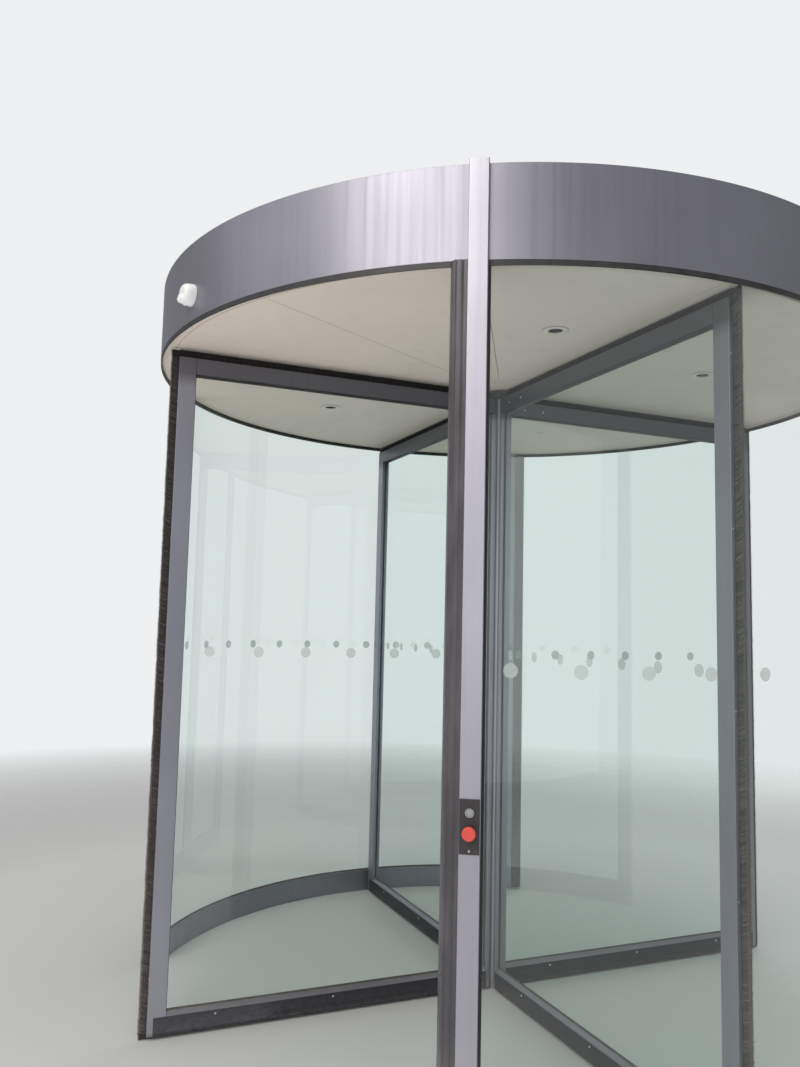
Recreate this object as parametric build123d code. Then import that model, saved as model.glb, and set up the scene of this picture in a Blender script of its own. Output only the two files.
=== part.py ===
from build123d import *
import math
import os

# Four-wing revolving door. The origin is the turning axis at floor level, +Z is up and the
# outer entrance faces -Y. An angle is counted from -Y towards +X, so 0 is the middle of the
# outer entrance. All lengths are millimetres, all angles degrees.

# Drum and canopy
clear_height = 2400.0
canopy_height = 275.0
drum_inner_radius = 1370.0
running_gap = 5.0
ceiling_gap = 7.0
fascia_sheet = 3.0
fascia_overhang = 22.0
fascia_joint = 2.0
ring_wall = 6.0
ring_ledge_depth = 70.0
ring_ledge_sheet = 4.0
roof_sheet = 3.0
roof_drop = 3.0
roof_flange = 59.0
seal_height = 16.0
seal_thickness = 4.0

# Ceiling
ceiling_sheet = 6.0
ceiling_sectors = 12
first_seam_angle = 15.0
seam_width = 2.0
centre_plate_radius = 203.0
centre_plate_lap = 57.0
centre_plate_step = 4.0
downlight_angles = (60.0, 120.0, 240.0, 300.0)
downlight_place = 814.0
downlight_can_radius = 33.0
downlight_can_height = 70.0
downlight_trim_radius = 43.0
downlight_trim = 1.5
downlight_mouth_radius = 25.0
downlight_depth = 44.0

# Curved walls
wall_glass = 12.0
wall_glass_setback = 5.0
base_rail_height = 106.0
base_rail_depth = 26.0
glass_bite = 15.0
glazing_gap = 0.3

# End posts
post_angle = 44.7
post_width = 55.0
cover_lap = 1.5
cover_depth = 18.0
post_wall = 3.0
cover_rise = 8.0
edge_width = 48.0
edge_depth = 34.0
edge_round = 12.0
edge_floor_gap = 8.0

# Emergency stop on the post beside each trap edge
plate_height = 136.0
plate_thickness = 4.0
plate_inset = 1.5
plate_below_stop = 54.0
stop_height = 897.0
stop_head_radius = 18.0
stop_head_thickness = 12.0
stop_head_round = 3.0
stop_head_gap = 9.0
stop_stem_radius = 8.0
stop_stem_length = 25.0
stop_stem_clearance = 0.3
cover_hole_radius = 12.0

# Motion sensors on the canopy
sensor_rise = 86.0
sensor_radius = 37.0
sensor_base = 10.0
sensor_dome = 28.0
sensor_nose_radius = 20.0
sensor_ball_radius = 18.0
sensor_ball_drop = 17.0
sensor_ball_reach = 32.0

# Wings
wing_count = 4
wing_rest_angle = -13.36
wing_thickness = 42.0
stile_width = 62.0
inner_stile_width = 16.0
top_rail_height = 60.0
bottom_rail_height = 62.0
frame_wall = 3.0
wing_glass = 8.0
wing_glass_bite = 12.0
brush_thickness = 14.0
side_brush_length = 25.0
top_brush_length = 29.0
floor_brush_length = 7.0
floor_gap = 5.0
brush_corner_gap = 1.0

# Centre column
column_radius = 30.0
column_bore = 24.0
column_floor_gap = 20.0
column_plug = 20.0
pivot_radius = 15.0
pivot_lift = 3.0
shaft_radius = 20.0
shaft_bore = 6.0
shaft_over_bearing = 2.0
shaft_clearance = 5.0
column_gap = 0.3
collar_radius = 52.0
collar_below_brush = 3.0
bearing_clearance = 0.1
floor_bearing_radius = 24.0
floor_bearing_height = 18.0
top_bearing_radius = 70.0
top_bearing_height = 40.0

# Sizes that follow
canopy_top = clear_height + canopy_height
fascia_outer_radius = drum_inner_radius + fascia_overhang
fascia_inner_radius = fascia_outer_radius - fascia_sheet
ring_outer_radius = fascia_inner_radius
ring_top = canopy_top - roof_drop - roof_sheet
ceiling_radius = drum_inner_radius - 3 * glazing_gap
glass_inner_radius = fascia_outer_radius - wall_glass_setback - wall_glass
glass_outer_radius = fascia_outer_radius - wall_glass_setback
rail_outer_radius = drum_inner_radius + base_rail_depth
post_body_width = post_width - 2 * cover_lap
cover_face_radius = fascia_outer_radius + cover_depth
plate_face_radius = cover_face_radius + plate_thickness
brush_radius = drum_inner_radius - running_gap
stile_outer = brush_radius - side_brush_length
stile_inner = stile_outer - stile_width
inner_stile_start = column_radius + column_gap
inner_stile_end = inner_stile_start + inner_stile_width
brush_top = clear_height - ceiling_gap
frame_top = brush_top - top_brush_length
frame_bottom = floor_gap + floor_brush_length
centre_plate_top = clear_height + ceiling_sheet + centre_plate_step
shaft_top = centre_plate_top + top_bearing_height + shaft_over_bearing
sensor_height = clear_height + sensor_rise


def at_angle(shape, angle):
    """Turns a shape modelled on the outer entrance's middle, along -Y, to its own angle."""
    return Rot(0, 0, angle) * shape


def block(x_low, x_high, y_low, y_high, z_low, z_high):
    """Box between two corners."""
    size = (x_high - x_low, y_high - y_low, z_high - z_low)
    return Pos(x_low, y_low, z_low) * Box(*size, align=(Align.MIN, Align.MIN, Align.MIN))


def ring(inner, outer, low, high):
    """Flat-ended ring about the turning axis."""
    disc = Circle(outer)
    if inner > 0:
        disc = disc - Circle(inner)
    return Pos(0, 0, low) * extrude(disc, high - low)


def ring_sector(inner, outer, low, high, start, end):
    """Part of a ring from one angle to another, in the entrance's angles."""
    first = start - 90.0
    sweep = end - start
    a = math.radians(first)
    b = math.radians(first + sweep)
    edges = [
        CenterArc((0, 0), outer, first, sweep),
        Line((outer * math.cos(b), outer * math.sin(b)), (inner * math.cos(b), inner * math.sin(b))),
        CenterArc((0, 0), inner, first, sweep),
        Line((inner * math.cos(a), inner * math.sin(a)), (outer * math.cos(a), outer * math.sin(a))),
    ]
    return Pos(0, 0, low) * extrude(make_face(edges), high - low)


def turned(points):
    """Solid turned about Z from an outline of (radius, height) points."""
    outline = make_face(Polyline(*[(r, 0, z) for r, z in points], close=True))
    return revolve(outline, Axis.Z)


def peg(radius, near, far, height):
    """Round bar that lies along -Y, from the near to the far distance from the axis."""
    bar = extrude(Circle(radius), far - near)
    return Pos(0, -near, height) * Rot(90, 0, 0) * bar


def group(solids):
    """Several solids of one node that don't touch."""
    return Compound(children=list(solids))


def post_envelope():
    """Space that an end post and its cover take, modelled along -Y."""
    body = block(-post_body_width / 2, post_body_width / 2, -fascia_outer_radius,
                 -drum_inner_radius, 0, clear_height)
    cover = block(-post_width / 2, post_width / 2, -cover_face_radius,
                  -fascia_outer_radius, 0, canopy_top + cover_rise)
    return body + cover


def post(with_stop):
    """Hollow end post with its cover, which runs up over the canopy's fascia."""
    half = post_body_width / 2 - post_wall
    body_hollow = block(-half, half, -fascia_outer_radius + post_wall,
                        -drum_inner_radius - post_wall, 0, clear_height)
    cover_half = post_width / 2 - post_wall
    cover_hollow = block(-cover_half, cover_half, -cover_face_radius + post_wall,
                         -fascia_outer_radius, 0, canopy_top + cover_rise - post_wall)
    solid = post_envelope() - body_hollow - cover_hollow
    if with_stop:
        solid = solid - peg(cover_hole_radius, fascia_outer_radius + 1, cover_face_radius + 1,
                            stop_height)
    return solid


def trap_edge():
    """Rubber safety edge on the post's side towards the entrance."""
    outer = -drum_inner_radius - edge_depth
    inner = -drum_inner_radius - 2 * glazing_gap
    bar = block(-post_width / 2 - edge_width, -post_width / 2, outer, inner,
                edge_floor_gap, clear_height - glazing_gap)
    corners = bar.edges().filter_by(Axis.Z).group_by(Axis.X)[0]
    return fillet(corners, edge_round)


def control_plate():
    """Plate on the post's cover that carries the emergency stop."""
    low = stop_height - plate_below_stop
    half = post_width / 2 - plate_inset
    plate = block(-half, half, -plate_face_radius, -cover_face_radius, low, low + plate_height)
    hole = peg(stop_stem_radius + stop_stem_clearance, cover_face_radius - 1,
               plate_face_radius + 1, stop_height)
    return plate - hole


def stop_button():
    """Mushroom head and stem, pushed towards the turning axis."""
    head_back = plate_face_radius + stop_head_gap
    head = peg(stop_head_radius, head_back, head_back + stop_head_thickness, stop_height)
    face = head.edges().group_by(Axis.Y)[0]
    head = fillet(face, stop_head_round)
    stem = peg(stop_stem_radius, head_back - stop_stem_length, head_back, stop_height)
    return head + stem


def base_rail():
    """Curved floor rail of the +X wall, grooved for the glass."""
    rail = ring_sector(drum_inner_radius, rail_outer_radius, 0, base_rail_height,
                       post_angle, 180 - post_angle)
    groove = ring(glass_inner_radius - glazing_gap, glass_outer_radius + glazing_gap,
                  base_rail_height - glass_bite, base_rail_height + 1)
    return clear_of_posts(rail - groove)


def wall_glass_pane():
    """Curved pane of the +X wall, from its groove in the floor rail to the canopy."""
    pane = ring_sector(glass_inner_radius, glass_outer_radius, base_rail_height - glass_bite,
                       clear_height, post_angle, 180 - post_angle)
    return clear_of_posts(pane)


def clear_of_posts(shape):
    """Cuts a shape back to the faces of the posts at both ends of the +X wall."""
    for angle in (post_angle, 180 - post_angle):
        shape = shape - at_angle(post_envelope(), angle)
    return shape


def canopy_ring():
    """Channel ring that carries the fascia, the roof and the ceiling."""
    ledge_low = clear_height + ceiling_sheet
    ledge_top = ledge_low + ring_ledge_sheet
    ledge_radius = drum_inner_radius - ring_ledge_depth
    return turned([
        (ledge_radius, ledge_low),
        (drum_inner_radius, ledge_low),
        (drum_inner_radius, clear_height),
        (ring_outer_radius, clear_height),
        (ring_outer_radius, ring_top),
        (ring_outer_radius - roof_flange, ring_top),
        (ring_outer_radius - roof_flange, ring_top - ring_wall),
        (ring_outer_radius - ring_wall, ring_top - ring_wall),
        (ring_outer_radius - ring_wall, ledge_top),
        (ledge_radius, ledge_top),
    ])


def fascia(start, end):
    """Bent sheet between two post covers."""
    trim = math.degrees(fascia_joint / 2 / fascia_outer_radius)
    return ring_sector(fascia_inner_radius, fascia_outer_radius, clear_height, canopy_top,
                       start + trim, end - trim)


def canopy_seal():
    """Lip under the fascia, cut at the posts and at the safety edges."""
    inner = glass_outer_radius + glazing_gap
    lip = ring(inner, inner + seal_thickness, clear_height - seal_height, clear_height)
    for angle in (post_angle, 180 - post_angle, 180 + post_angle, -post_angle):
        lip = lip - at_angle(post_envelope(), angle)
    for angle in (post_angle, 180 + post_angle):
        lip = lip - at_angle(trap_edge(), angle)
    return lip


def downlight(angle):
    """Recessed round light with its trim under the ceiling."""
    body = turned([
        (downlight_mouth_radius, clear_height - downlight_trim),
        (downlight_trim_radius, clear_height - downlight_trim),
        (downlight_trim_radius, clear_height),
        (downlight_can_radius, clear_height),
        (downlight_can_radius, clear_height + downlight_can_height),
        (0, clear_height + downlight_can_height),
        (0, clear_height + downlight_depth),
        (downlight_mouth_radius, clear_height + downlight_depth),
    ])
    return at_angle(Pos(0, -downlight_place, 0) * body, angle)


def ceiling_panels():
    """Sheets between the centre plate and the ring, split by straight radial seams."""
    sheet = ring(centre_plate_radius + seam_width, ceiling_radius, clear_height,
                 clear_height + ceiling_sheet)
    reach = drum_inner_radius
    seam = block(-seam_width / 2, seam_width / 2, -reach, reach, clear_height - 1,
                 clear_height + ceiling_sheet + 1)
    step = 360.0 / ceiling_sectors
    for index in range(ceiling_sectors // 2):
        sheet = sheet - at_angle(seam, first_seam_angle + step * index)
    hole = Pos(0, -downlight_place, clear_height - 1) * extrude(
        Circle(downlight_can_radius + glazing_gap), ceiling_sheet + 2)
    for angle in downlight_angles:
        sheet = sheet - at_angle(hole, angle)
    return sheet


def ceiling_centre():
    """Stepped plate round the shaft, which laps over the panels' inner ends."""
    lap_radius = centre_plate_radius + centre_plate_lap
    step = clear_height + ceiling_sheet
    hole = shaft_radius + shaft_clearance
    return turned([
        (hole, clear_height),
        (centre_plate_radius, clear_height),
        (centre_plate_radius, step),
        (lap_radius, step),
        (lap_radius, centre_plate_top),
        (hole, centre_plate_top),
    ])


def sensor():
    """Round domed motion sensor with a ball at its lower front, on the fascia along -Y."""
    outline = make_face(Polyline(
        (0, -fascia_outer_radius + 1, 0),
        (sensor_radius, -fascia_outer_radius + 1, 0),
        (sensor_radius, -fascia_outer_radius - sensor_base, 0),
        (sensor_nose_radius, -fascia_outer_radius - sensor_base - sensor_dome, 0),
        (0, -fascia_outer_radius - sensor_base - sensor_dome, 0),
        close=True))
    dome = revolve(outline, Axis.Y)
    rims = dome.edges().filter_by(GeomType.CIRCLE).sort_by(Axis.Y)[:2]
    dome = fillet(rims, sensor_base / 2)
    ball = Pos(0, -fascia_outer_radius - sensor_ball_reach, -sensor_ball_drop) * Sphere(sensor_ball_radius)
    behind = Pos(0, 0, -sensor_radius * 2) * Cylinder(
        fascia_outer_radius + glazing_gap / 2, sensor_radius * 4,
        align=(Align.CENTER, Align.CENTER, Align.MIN))
    return Pos(0, 0, sensor_height) * (dome + ball - behind)


def wing_frame():
    """Hollow frame of one wing along -Y, with a groove for the glass round its inside."""
    half = wing_thickness / 2
    hollow = half - frame_wall
    top_rail_low = frame_top - top_rail_height
    bottom_rail_high = frame_bottom + bottom_rail_height
    frame = block(-half, half, -stile_outer, -inner_stile_start, frame_bottom, frame_top)
    frame = frame - block(-half - 1, half + 1, -stile_inner, -inner_stile_end,
                          bottom_rail_high, top_rail_low)
    frame = frame - block(-hollow, hollow, -stile_outer + frame_wall, -stile_inner - frame_wall,
                          frame_bottom - 1, frame_top + 1)
    for low, high in ((frame_bottom, bottom_rail_high), (top_rail_low, frame_top)):
        frame = frame - block(-hollow, hollow, -stile_inner - frame_wall - 1,
                              -inner_stile_start - frame_wall, low + frame_wall, high - frame_wall)
    slot = wing_glass / 2 + glazing_gap
    bite = wing_glass_bite + glazing_gap
    return frame - block(-slot, slot, -stile_inner - bite, -inner_stile_end + bite,
                         bottom_rail_high - bite, top_rail_low + bite)


def wing_glass_pane():
    """Flat pane held in the groove of one wing's frame."""
    bite = wing_glass_bite
    return block(-wing_glass / 2, wing_glass / 2, -stile_inner - bite, -inner_stile_end + bite,
                 frame_bottom + bottom_rail_height - bite, frame_top - top_rail_height + bite)


def wing_brushes():
    """Pile brushes on a wing's outer edge, over its top rail and under its bottom rail."""
    half = brush_thickness / 2
    side = block(-half, half, -brush_radius, -stile_outer, frame_bottom, frame_top - brush_corner_gap)
    inner = collar_radius + brush_corner_gap
    outer = stile_outer - brush_corner_gap
    top = block(-half, half, -outer, -inner, frame_top, brush_top)
    floor_brush = block(-half, half, -outer, -inner_stile_start, floor_gap, frame_bottom)
    return [side, top, floor_brush]


def centre_column():
    """Hollow turned column with its floor pivot and its shaft up through the ceiling."""
    return turned([
        (pivot_radius, pivot_lift),
        (pivot_radius, column_floor_gap),
        (column_radius, column_floor_gap),
        (column_radius, frame_top),
        (shaft_radius, frame_top),
        (shaft_radius, shaft_top),
        (shaft_bore, shaft_top),
        (shaft_bore, frame_top - column_plug),
        (column_bore, frame_top - column_plug),
        (column_bore, column_floor_gap + column_plug),
        (shaft_bore, column_floor_gap + column_plug),
        (shaft_bore, pivot_lift),
    ])


def hub_collar():
    """Rubber collar on the column's top, which closes the gap between the top brushes."""
    return ring(shaft_radius, collar_radius, frame_top, brush_top - collar_below_brush)


def floor_bearing():
    """Socket on the floor for the column's pivot."""
    socket = pivot_radius + bearing_clearance
    floor = pivot_lift - glazing_gap
    return turned([
        (0, 0),
        (floor_bearing_radius, 0),
        (floor_bearing_radius, floor_bearing_height),
        (socket, floor_bearing_height),
        (socket, floor),
        (0, floor),
    ])


def top_bearing():
    """Bearing block on the ceiling's centre plate, round the shaft."""
    return ring(shaft_radius + bearing_clearance, top_bearing_radius, centre_plate_top,
                centre_plate_top + top_bearing_height)


def build_nodes():
    """Every named piece of the door, at rest."""
    nodes = {}
    for side, turn in (("right", 0), ("left", 180)):
        nodes["base_rail_" + side] = at_angle(base_rail(), turn)
        nodes["wall_glass_" + side] = at_angle(wall_glass_pane(), turn)
    posts = {
        "post_front_right": (post_angle, True),
        "post_back_right": (180 - post_angle, False),
        "post_back_left": (180 + post_angle, True),
        "post_front_left": (-post_angle, False),
    }
    for name, (angle, with_stop) in posts.items():
        nodes[name] = at_angle(post(with_stop), angle)
    stop_sides = (("front", post_angle), ("back", 180 + post_angle))
    nodes["safety_edges"] = group(at_angle(trap_edge(), angle) for _, angle in stop_sides)
    for side, angle in stop_sides:
        nodes["control_plate_" + side] = at_angle(control_plate(), angle)
        nodes["stop_button_" + side] = at_angle(stop_button(), angle)
    nodes["canopy_ring"] = canopy_ring()
    nodes["fascia_front"] = fascia(-post_angle, post_angle)
    nodes["fascia_right"] = fascia(post_angle, 180 - post_angle)
    nodes["fascia_back"] = fascia(180 - post_angle, 180 + post_angle)
    nodes["fascia_left"] = fascia(180 + post_angle, 360 - post_angle)
    nodes["canopy_seal"] = canopy_seal()
    nodes["canopy_roof"] = ring(0, ring_outer_radius - glazing_gap, ring_top, ring_top + roof_sheet)
    nodes["ceiling_panels"] = ceiling_panels()
    nodes["ceiling_centre"] = ceiling_centre()
    nodes["downlights"] = group(downlight(angle) for angle in downlight_angles)
    nodes["sensor_outside"] = sensor()
    nodes["sensor_inside"] = at_angle(sensor(), 180)
    nodes["floor_bearing"] = floor_bearing()
    nodes["top_bearing"] = top_bearing()
    nodes["centre_column"] = centre_column()
    nodes["hub_collar"] = hub_collar()
    for number in range(1, wing_count + 1):
        angle = wing_rest_angle + (number - 1) * 360.0 / wing_count
        nodes[f"wing_{number}_frame"] = at_angle(wing_frame(), angle)
        nodes[f"wing_{number}_glass"] = at_angle(wing_glass_pane(), angle)
        nodes[f"wing_{number}_brushes"] = group(at_angle(brush, angle) for brush in wing_brushes())
    return nodes


os.makedirs("parts", exist_ok=True)
for node_name, node_shape in build_nodes().items():
    export_step(node_shape, f"parts/{node_name}.step")
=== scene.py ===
import math
from collections import namedtuple

import bpy
import numpy as np
from bpy.props import FloatProperty, FloatVectorProperty, IntProperty, PointerProperty
from mathutils import Matrix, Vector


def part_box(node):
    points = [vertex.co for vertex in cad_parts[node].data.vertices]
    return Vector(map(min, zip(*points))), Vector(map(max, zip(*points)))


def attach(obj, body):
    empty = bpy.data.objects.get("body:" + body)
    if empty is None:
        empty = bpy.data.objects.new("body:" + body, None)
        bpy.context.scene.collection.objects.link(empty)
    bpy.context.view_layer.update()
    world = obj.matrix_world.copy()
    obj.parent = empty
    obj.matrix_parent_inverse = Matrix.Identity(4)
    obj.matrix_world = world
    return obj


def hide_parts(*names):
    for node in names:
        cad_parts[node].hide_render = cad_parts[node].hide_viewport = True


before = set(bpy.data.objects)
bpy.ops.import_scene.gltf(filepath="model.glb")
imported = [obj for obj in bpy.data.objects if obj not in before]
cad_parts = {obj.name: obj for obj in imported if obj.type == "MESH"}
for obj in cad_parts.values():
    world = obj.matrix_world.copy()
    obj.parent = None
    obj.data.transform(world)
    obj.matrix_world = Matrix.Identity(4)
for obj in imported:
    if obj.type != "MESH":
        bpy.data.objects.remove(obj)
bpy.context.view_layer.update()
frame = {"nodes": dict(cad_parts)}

# Looks of a four-wing revolving door. The turning axis is Z, the floor is at 0, and an angle is
# counted from -Y, the middle of the outer entrance, towards +X. Lengths are metres.

bl_info = {
    "name": "Revolving Door Looks",
    "version": (1, 0, 0),
    "blender": (4, 5, 0),
    "location": "3D View > Sidebar > Door",
    "description": "Dresses the solids of a revolving door with trim, brushes, glass and finishes",
    "category": "Object",
}

WINGS = (1, 2, 3, 4)
WALLS = (("right", 0.0), ("left", 180.0))
ENTRANCES = (("front", 0.0), ("back", 180.0))
# Each end post with the way from it to its curved pane: 1 where the pane lies at larger angles, else -1.
POSTS = (("front_right", 1.0), ("back_right", -1.0), ("back_left", 1.0), ("front_left", -1.0))
LIGHT_ANGLES = (60.0, 120.0, 240.0, 300.0)
# Places of a wing's screws: distances from the axis along its head and foot, and levels in its stile.
HEAD_SCREWS = (0.11, 0.20)
FOOT_SCREWS = (0.25, 0.68, 1.11)
STILE_SCREWS = (0.20, 0.70, 1.20, 1.70, 2.20)
# Room round a pane in its groove, and the lift of a film off its pane.
PANE_PLAY = 0.0003
FILM_LIFT = 0.0002
# The finish of each CAD node that isn't replaced.
PLAIN_NODES = {
    "ceiling_panels": "ceiling", "ceiling_centre": "ceiling", "canopy_ring": "ceiling",
    "downlights": "ceiling", "canopy_roof": "roof", "canopy_seal": "seal", "centre_column": "frame",
    "hub_collar": "rubber", "control_plate_front": "plate", "control_plate_back": "plate",
    "floor_bearing": "steel", "top_bearing": "steel", **{f"wing_{number}_glass": "glass" for number in WINGS},
}


# Reading the frame


def node_points(node):
    """Vertices of a CAD node as an array of (x, y, z)."""
    mesh = frame["nodes"][node].data
    points = np.zeros(len(mesh.vertices) * 3)
    mesh.vertices.foreach_get("co", points)
    return points.reshape(-1, 3)


def heading(node):
    """Angle of a CAD node's middle, in degrees from -Y towards +X."""
    x, y, _ = node_points(node).mean(axis=0)
    return math.degrees(math.atan2(x, -y))


def reach(node):
    """Least and greatest distance of a CAD node's vertices from the turning axis."""
    points = node_points(node)
    radii = np.hypot(points[:, 0], points[:, 1])
    return float(radii.min()), float(radii.max())


def levels(node):
    """Lowest and highest level of a CAD node."""
    low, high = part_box(node)
    return low.z, high.z


def turn(points, degrees):
    """Points turned about Z: x' = x cos a - y sin a, y' = x sin a + y cos a."""
    a = math.radians(degrees)
    across = points[..., 0] * math.cos(a) - points[..., 1] * math.sin(a)
    along = points[..., 0] * math.sin(a) + points[..., 1] * math.cos(a)
    return np.stack([across, along, points[..., 2]], axis=-1)


def turned_back(node, degrees):
    """Lowest and highest corner of a CAD node after turning it back by an angle, so that it lies along -Y."""
    points = turn(node_points(node), -degrees)
    return points.min(axis=0), points.max(axis=0)


def span(node, degrees):
    """First and last angle of a CAD node after turning it back by an angle."""
    points = turn(node_points(node), -degrees)
    angles = np.degrees(np.arctan2(points[:, 0], -points[:, 1]))
    return float(angles.min()), float(angles.max())


# Shapes. A shape is a pair: its points, and a list of arrays of faces, one array for each corner count.


def grid_faces(rows, columns, wrap_rows):
    """Four-cornered faces between neighbouring points of a grid. Its columns close on themselves, and its
    rows too if asked."""
    i = np.arange(rows if wrap_rows else rows - 1)[:, None]
    j = np.arange(columns)[None, :]
    down = (i + 1) % rows
    right = (j + 1) % columns
    corners = [i * columns + j, down * columns + j, down * columns + right, i * columns + right]
    return np.stack(np.broadcast_arrays(*corners), axis=-1).reshape(-1, 4)


def tube(rings, closed_path=False):
    """Skin over a row of like rings: point (i, j) is point j of ring i. Flat caps close an open row."""
    rows, columns = rings.shape[:2]
    faces = [grid_faces(rows, columns, closed_path)]
    if not closed_path:
        first = np.arange(columns)[::-1]
        last = np.arange(columns) + (rows - 1) * columns
        faces.append(np.stack([first, last]))
    return outward((rings.reshape(-1, 3), faces))


def volume(shape):
    """Signed volume: a sixth of the sum of the triple products of each face's fan of triangles."""
    points, faces = shape
    total = 0.0
    for group in faces:
        start = points[group[:, 0]]
        for k in range(1, group.shape[1] - 1):
            total += np.einsum("ij,ij->", start, np.cross(points[group[:, k]], points[group[:, k + 1]]))
    return total / 6.0


def outward(shape):
    """The same closed shape with its faces pointing out."""
    points, faces = shape
    if volume((points - points.mean(axis=0), faces)) < 0:
        faces = [group[:, ::-1] for group in faces]
    return points, faces


def joined(shapes):
    """Several shapes as one."""
    points = np.concatenate([shape[0] for shape in shapes])
    starts = np.cumsum([0] + [len(shape[0]) for shape in shapes[:-1]])
    faces = {}
    for start, shape in zip(starts, shapes):
        for group in shape[1]:
            faces.setdefault(group.shape[1], []).append(group + start)
    return points, [np.concatenate(groups) for groups in faces.values()]


def copies(shape, moved):
    """One shape repeated: moved holds the points of every copy, as an array (copy, point, 3)."""
    count, size = moved.shape[:2]
    starts = (np.arange(count) * size)[:, None, None]
    faces = [(group[None] + starts).reshape(-1, group.shape[1]) for group in shape[1]]
    return moved.reshape(-1, 3), faces


def turned_shape(shape, degrees):
    """A shape turned about the door's axis."""
    return turn(shape[0], degrees), shape[1]


def ringed(shape, distance, angles):
    """Copies of a shape round the door's axis, each at a distance from it."""
    return joined([turned_shape(shifted(shape, y=-distance), angle) for angle in angles])


def shifted(shape, x=0.0, y=0.0, z=0.0):
    """A shape moved along the axes."""
    return shape[0] + np.array([x, y, z]), shape[1]


def rounded(outline, radius, steps=3):
    """Closed outline with soft corners: each corner C becomes the curve (1-t)^2 A + 2t(1-t) C + t^2 B
    between the points A and B that lie a radius before and after it, or half a side if that is less."""
    corners = np.asarray(outline, float)
    before = np.roll(corners, 1, axis=0) - corners
    after = np.roll(corners, -1, axis=0) - corners
    before_length = np.linalg.norm(before, axis=1, keepdims=True)
    after_length = np.linalg.norm(after, axis=1, keepdims=True)
    a = corners + before / before_length * np.minimum(radius, before_length / 2.01)
    b = corners + after / after_length * np.minimum(radius, after_length / 2.01)
    t = np.linspace(0, 1, steps + 1)[None, :, None]
    curve = (1 - t) ** 2 * a[:, None] + 2 * t * (1 - t) * corners[:, None] + t ** 2 * b[:, None]
    return curve.reshape(-1, 2)


def rectangle(left, right, low, high):
    """Corners of a rectangle, counterclockwise."""
    return [(left, low), (right, low), (right, high), (left, high)]


def mirrored(right_half):
    """Closed outline that is alike on both sides: its right half, and that half's mirror image backwards."""
    right_half = np.asarray(right_half, float)
    return np.concatenate([right_half, right_half[::-1] * [-1.0, 1.0]])


def upright(outline, low, high, soft=0.0, between=()):
    """Post over an outline of (x, y): the same ring at each level, drawn in by the soft edge at both ends.
    Levels between the ends get a ring of their own."""
    outline = np.asarray(outline, float)
    middle = (outline.max(axis=0) + outline.min(axis=0)) / 2
    half = (outline.max(axis=0) - outline.min(axis=0)) / 2
    drawn = middle + (outline - middle) * (1 - soft / half)
    if soft > 0:
        rows = [(drawn, low), (outline, low + soft)]
        ends = [(outline, high - soft), (drawn, high)]
    else:
        rows = [(outline, low)]
        ends = [(outline, high)]
    rows = rows + [(outline, level) for level in between] + ends
    return tube(np.stack([np.column_stack([ring, np.full(len(ring), z)]) for ring, z in rows]))


def along_wing(outline, start, end):
    """Bar along -Y over an outline of (x, z), from one distance from the axis to another."""
    outline = np.asarray(outline, float)
    return tube(np.stack([
        np.column_stack([outline[:, 0], np.full(len(outline), -distance), outline[:, 1]])
        for distance in (start, end)
    ]))


def polar(radius, a, level):
    """Points at a distance from the axis, an angle a in radians and a level: (r sin a, -r cos a, z)."""
    return np.stack(np.broadcast_arrays(radius * np.sin(a), -radius * np.cos(a), level), axis=-1)


def round_axis(outline, angles):
    """Rings of an outline of (radius, z), one at each angle in radians."""
    outline = np.asarray(outline, float)
    return polar(outline[:, 0], angles[:, None], outline[:, 1])


def arc_bar(outline, start, end, step=1.0):
    """Bar round the axis over an outline of (radius, z), from one angle to another in even steps."""
    count = max(2, int(round((end - start) / step)) + 1)
    return tube(round_axis(outline, np.radians(np.linspace(start, end, count))))


def full_ring(outline, steps):
    """Closed ring round the Z axis over an outline of (radius, z)."""
    angles = np.linspace(0, 2 * math.pi, steps, endpoint=False)
    return tube(round_axis(outline, angles), closed_path=True)


def turned_solid(profile, steps):
    """Solid turned about Z from rows of (radius, z): each row is a circle, and flat caps close both ends."""
    profile = np.asarray(profile, float)
    a = np.linspace(0, 2 * math.pi, steps, endpoint=False)[None, :]
    radius = profile[:, :1]
    level = np.broadcast_to(profile[:, 1:2], (len(profile), steps))
    return tube(np.stack([radius * np.cos(a), radius * np.sin(a), level], axis=-1))


def axes_along(direction):
    """Three unit axes: z along a direction that isn't upright, x level, and y the one nearest to up."""
    z = direction / np.linalg.norm(direction)
    x = np.cross((0.0, 0.0, 1.0), z)
    x = x / np.linalg.norm(x)
    return np.stack([x, np.cross(z, x), z])


def facing(shape, direction):
    """A shape turned so that its own +Z points along a direction that isn't upright."""
    return shape[0] @ axes_along(direction), shape[1]


def out_from_axis(shape, radius, level):
    """A shape modelled along +Z set on a face that looks along -Y, at a distance from the axis."""
    return shifted(facing(shape, (0.0, -1.0, 0.0)), y=-radius, z=level)


def screw(radius, lift):
    """Pan head with a recess, along +Z: rings that follow a low dome, then a small sunken middle."""
    profile = [
        (radius, -0.0006), (radius, lift * 0.35), (radius * 0.93, lift * 0.7), (radius * 0.72, lift * 0.95),
        (radius * 0.42, lift), (radius * 0.36, lift * 0.55), (radius * 0.1, lift * 0.5),
    ]
    return turned_solid(profile, 16)


def disc(radius):
    """Thin round film along +Z."""
    return turned_solid([(radius, 0.0), (radius, FILM_LIFT)], 40)


# Objects


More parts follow.
